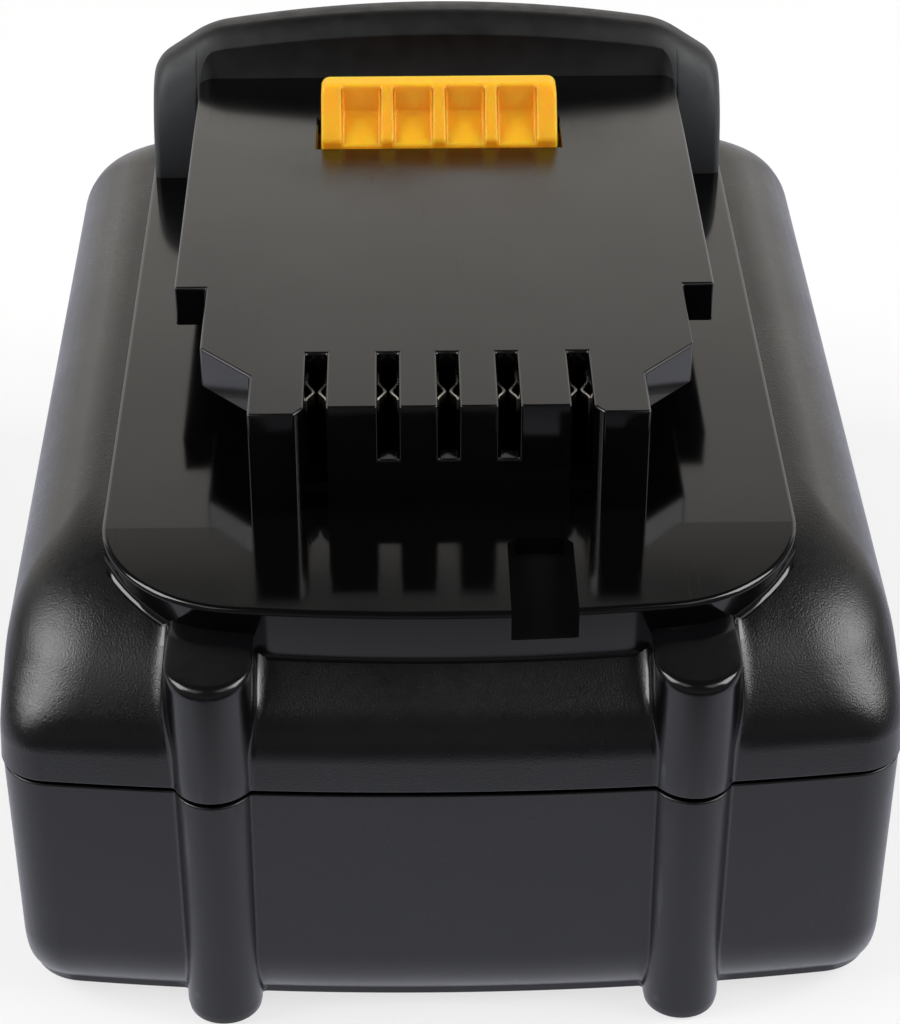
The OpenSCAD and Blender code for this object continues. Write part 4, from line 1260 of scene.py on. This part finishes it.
def speckled(name, colour, other, roughness, size_mm, height_mm):
    """A dull material with speckles and a bump of one size, such as foam, paper or board."""
    material, tree, shader = new_material(name, colour, roughness)
    tint(tree, shader, spread(tree, noise(tree, size_mm, 3.0), 0.0, 1.0), colour, other)
    roughen(tree, shader, noise(tree, 6.0), roughness - 0.06, roughness + 0.06)
    bump(tree, shader, noise(tree, size_mm, 2.0), height_mm)
    return material


# Stage

def make_camera():
    data = bpy.data.cameras.new("camera")
    data.sensor_fit = "VERTICAL"
    data.sensor_height = SENSOR
    data.lens = FOCAL_PX * SENSOR / IMAGE_H
    data.shift_x = (IMAGE_W / 2 - CENTRE_X_PX) / IMAGE_H
    camera = show("camera", data)
    camera.location = Vector(CAMERA_PLACE) * MM
    camera.rotation_euler = (math.radians(CAMERA_PITCH), 0, math.radians(CAMERA_YAW))
    bpy.context.scene.camera = camera


def mix_shaders(tree, share, first, second):
    node = tree.nodes.new("ShaderNodeMixShader")
    tree.links.new(share, node.inputs["Fac"])
    tree.links.new(first, node.inputs[1])
    tree.links.new(second, node.inputs[2])
    return node.outputs["Shader"]


def make_floor():
    """A plain white floor that keeps its shadow. In reflections it dims away from the pack's front."""
    size = FLOOR_SIZE
    corners = [(x, y, FLOOR_Z) for x, y in ((-size, -size), (size, -size), (size, size), (-size, size))]
    floor = new_object("floor", corners, [[0, 1, 2, 3]])
    material, tree, shader = new_material("floor", (0.9, 0.9, 0.9), 0.8)
    path = tree.nodes.new("ShaderNodeLightPath")
    white = tree.nodes.new("ShaderNodeEmission")
    mirrored = tree.nodes.new("ShaderNodeEmission")
    mirrored.inputs["Color"].default_value = (*BLUISH, 1)
    run = axes(tree, object_place(tree))["Y"]
    near = spread(tree, run, FLOOR_FAR, FLOOR_NEAR, -FLOOR_FADE_END * MM, -FLOOR_FADE_START * MM)
    tree.links.new(near, mirrored.inputs["Strength"])
    seen = add(tree, path.outputs["Is Camera Ray"], path.outputs["Is Transmission Ray"])
    for_camera = spread(tree, seen, 0.0, FLOOR_GLOW, 0.0, 1.0)
    surface = mix_shaders(tree, for_camera, shader.outputs["BSDF"], white.outputs["Emission"])
    surface = mix_shaders(tree, path.outputs["Is Glossy Ray"], surface, mirrored.outputs["Emission"])
    tree.links.new(surface, tree.nodes["Material Output"].inputs["Surface"])
    paint(floor, material)


def softbox(name, place, aim, width, height, brightness, colour=(1, 1, 1)):
    """A soft rectangular light that shows at this brightness in a mirror."""
    data = bpy.data.lights.new(name, "AREA")
    data.shape = "RECTANGLE"
    data.size = width * MM
    data.size_y = height * MM
    data.color = colour
    data.energy = brightness * math.pi * data.size * data.size_y
    light = show(name, data)
    light.location = Vector(place) * MM
    light.rotation_euler = (Vector(aim) - Vector(place)).to_track_quat("-Z", "Y").to_euler()


def make_light():
    """A warm panel behind that dims upwards, soft boxes at the sides and front, and dim surroundings."""
    world = bpy.data.worlds.new("studio")
    bpy.context.scene.world = world
    world.use_nodes = True
    tree = world.node_tree
    rise = axes(tree, tree.nodes.new("ShaderNodeTexCoord").outputs["Generated"])["Z"]
    background = tree.nodes["Background"]
    background.inputs["Color"].default_value = (1, 1, 1, 1)
    tree.links.new(spread(tree, rise, SKY_LOW, SKY_HIGH, 0.0, SKY_RISE), background.inputs["Strength"])
    low = PANEL_LOW
    strips = ((300, 0.8), (480, 1.2), (560, 0.94), (660, 0.78), (740, 0.55), (830, 0.08))
    for number, (high, brightness) in enumerate(strips):
        middle = (low + high) / 2
        place = (0, PANEL_Y, middle)
        softbox("back_panel_%d" % number, place, (0, 0, middle), PANEL_W, high - low, brightness, WARM)
        low = high
    for side, name in ((-1, "left"), (1, "right")):
        softbox(name + "_box", (side * 600, -60, 560), (0, 0, 30), 460, 420, 8.0)
        softbox(name + "_front_box", (side * 390, -350, 720), (0, -40, 35), 380, 340, 1.3)


def put(piece, slot, body, *nodes):
    """Hands a piece over: the body it moves with and the solids it stands for. The slot is not used."""
    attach(piece, body)
    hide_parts(*nodes)


def complete(piece, material, slot, body, node):
    """Smooths and paints a piece and hands it over."""
    smooth(piece)
    paint(piece, material)
    put(piece, slot, body, node)


def on_pillar(place):
    """True on the pillars and on the near part of the fillets beside them."""
    if place.z > SHELF_Z + NOSE_LEFT or abs(place.y) < PILLAR_Y - SMOOTH_DEPTH:
        return False
    fillet = pillar_at(place.z)[1]
    return abs(abs(place.x) - PILLAR_X) < PILLAR_R + SMOOTH_FILLET * fillet


def in_notch(place):
    """True on the walls and the floor of the lock notch, where shade is painted."""
    inside = abs(place.x - NOTCH_X) < NOTCH_W / 2 + ON_LINE and place.z < DECK_Z - DECK_LIP_R
    return inside and DECK_BOW / 2 < place.y + DECK_FRONT < NOTCH_L + ON_LINE


make_camera()
make_floor()
make_light()
bpy.context.scene.view_settings.view_transform = "Standard"

BLACK = (0.0022, 0.0023, 0.0027)
WORN = (0.02, 0.021, 0.023)
case_grain = moulded_plastic("case_grain", BLACK, WORN, 0.3, 0.16, 0.03)
case_satin = moulded_plastic("case_satin", BLACK, WORN, 0.3, 0.35, 0.004)
case_smooth = moulded_plastic("case_smooth", BLACK, WORN, 0.2, 0.5, 0.002)
GLOSS_BLACK = (0.0012, 0.0012, 0.0014)
GLOSS_WORN = (0.0025, 0.0025, 0.0027)
# Painted shade: a darker, duller copy of the case plastic for the inside of the lock notch
NOTCH_SHADE_BLACK = (0.0007, 0.0007, 0.0008)
NOTCH_SHADE_WORN = (0.001, 0.001, 0.001)
case_gloss = polished_plastic("case_gloss", GLOSS_BLACK, GLOSS_WORN, 0.1)
plate_satin = polished_plastic("plate_satin", GLOSS_BLACK, GLOSS_WORN, 0.2)
notch_painted_shade = moulded_plastic("notch_painted_shade", NOTCH_SHADE_BLACK, NOTCH_SHADE_WORN, 0.6, 0.3, 0.01)
less_shine(notch_painted_shade, 0.1)
# The hood: painted light, paler on its wings and niche and darkest on the roof
hood_matte = plastic_painted_light_below("hood_matte", (0.002, 0.0021, 0.0023), (0.045, 0.047, 0.05), 49.0, 57.0, 0.5)
latch_yellow = moulded_plastic("latch_yellow", (1.0, 0.46, 0.01), (1.0, 0.5, 0.03), 0.5, 0.3, 0.003)
less_shine(latch_yellow, 0.35)
glow_through(latch_yellow, (1.0, 0.42, 0.05))
# Terminal clips: painted shade below their top edge, with a copper tint
clip_metal = metal_painted_shade_below("clip_metal", (0.75, 0.72, 0.66), (0.1, 0.035, 0.015), 47.6, 48.7, 0.3)

upper_parts = []
for make, material, crease in ((shoulder, case_grain, None), (deck, case_gloss, DECK_CREASE),
                               (tower, case_gloss, None), (hood, hood_matte, None)):
    obj = make()
    smooth(obj, UPPER_SHARP_TURN, crease)
    paint(obj, material)
    upper_parts.append(obj)
paint_faces(upper_parts[0], case_smooth, on_pillar)
# Painted shade on the walls and the floor of the lock notch
paint_faces(upper_parts[1], notch_painted_shade, in_notch)
paint_faces(upper_parts[2], plate_satin, lambda place: place.z > TOWER_Z - TOWER_EDGE_R)
put(join("upper_case_moulding", upper_parts), "case", "case", "upper_case")
complete(lower_case(), case_satin, "case", "case", "lower_case")
complete(latch(), latch_yellow, "latch", "latch", "release_latch")
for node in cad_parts:
    if node.startswith("terminal_") and node != "terminal_block":
        complete(clip(node), clip_metal, "terminal", "case", node)

INNER_BLACK = (0.006, 0.006, 0.006)
INNER_WORN = (0.012, 0.012, 0.012)
inner_plastic = moulded_plastic("inner_plastic", INNER_BLACK, INNER_WORN, 0.5, 0.3, 0.01)
finishes = {
    "terminal_block": inner_plastic,
    "latch_base": inner_plastic,
    "cell_holder": inner_plastic,
    "case_screws": plain_metal("screw_steel", (0.3, 0.3, 0.31), (0.2, 0.2, 0.2), 0.35),
    "board_screws": plain_metal("zinc_steel", (0.55, 0.55, 0.56), (0.4, 0.4, 0.4), 0.3),
    "latch_spring": plain_metal("spring_steel", (0.5, 0.5, 0.5), (0.35, 0.34, 0.33), 0.25),
    "insulation": speckled("insulation_paper", (0.42, 0.38, 0.28), (0.36, 0.32, 0.23), 0.7, 0.5, 0.01),
    "side_pad": speckled("pad_foam", (0.03, 0.03, 0.03), (0.055, 0.055, 0.055), 0.9, 0.4, 0.05),
    "circuit_board": speckled("board_mask", (0.002, 0.006, 0.004), (0.003, 0.009, 0.006), 0.35, 0.8, 0.006),
    "board_chips": speckled("chip_epoxy", (0.012, 0.012, 0.013), (0.02, 0.02, 0.02), 0.55, 0.2, 0.004),
    "power_strap": plain_metal("strap_copper", (0.72, 0.3, 0.16), (0.5, 0.2, 0.1), 0.3),
    "thermistor": speckled("bead_epoxy", (0.02, 0.015, 0.01), (0.03, 0.022, 0.014), 0.4, 0.3, 0.004),
    "cell": speckled("cell_sleeve", (0.03, 0.17, 0.2), (0.026, 0.15, 0.18), 0.35, 3.0, 0.006),
    "nickel_strip": plain_metal("nickel", (0.62, 0.59, 0.54), (0.5, 0.47, 0.42), 0.28),
    "balance_lead": speckled("lead_sleeve", (0.3, 0.02, 0.015), (0.26, 0.017, 0.013), 0.45, 0.6, 0.004),
}
for node in ("latch_spring_left", "latch_spring_right"):
    coil = spring(node)
    complete(coil, finishes["latch_spring"], "spring_steel", "case", node)
    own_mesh(coil)
for node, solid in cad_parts.items():
    matches = [key for key in finishes if node.startswith(key)]
    if matches:
        for slot in solid.material_slots:
            slot.material = finishes[max(matches, key=len)]
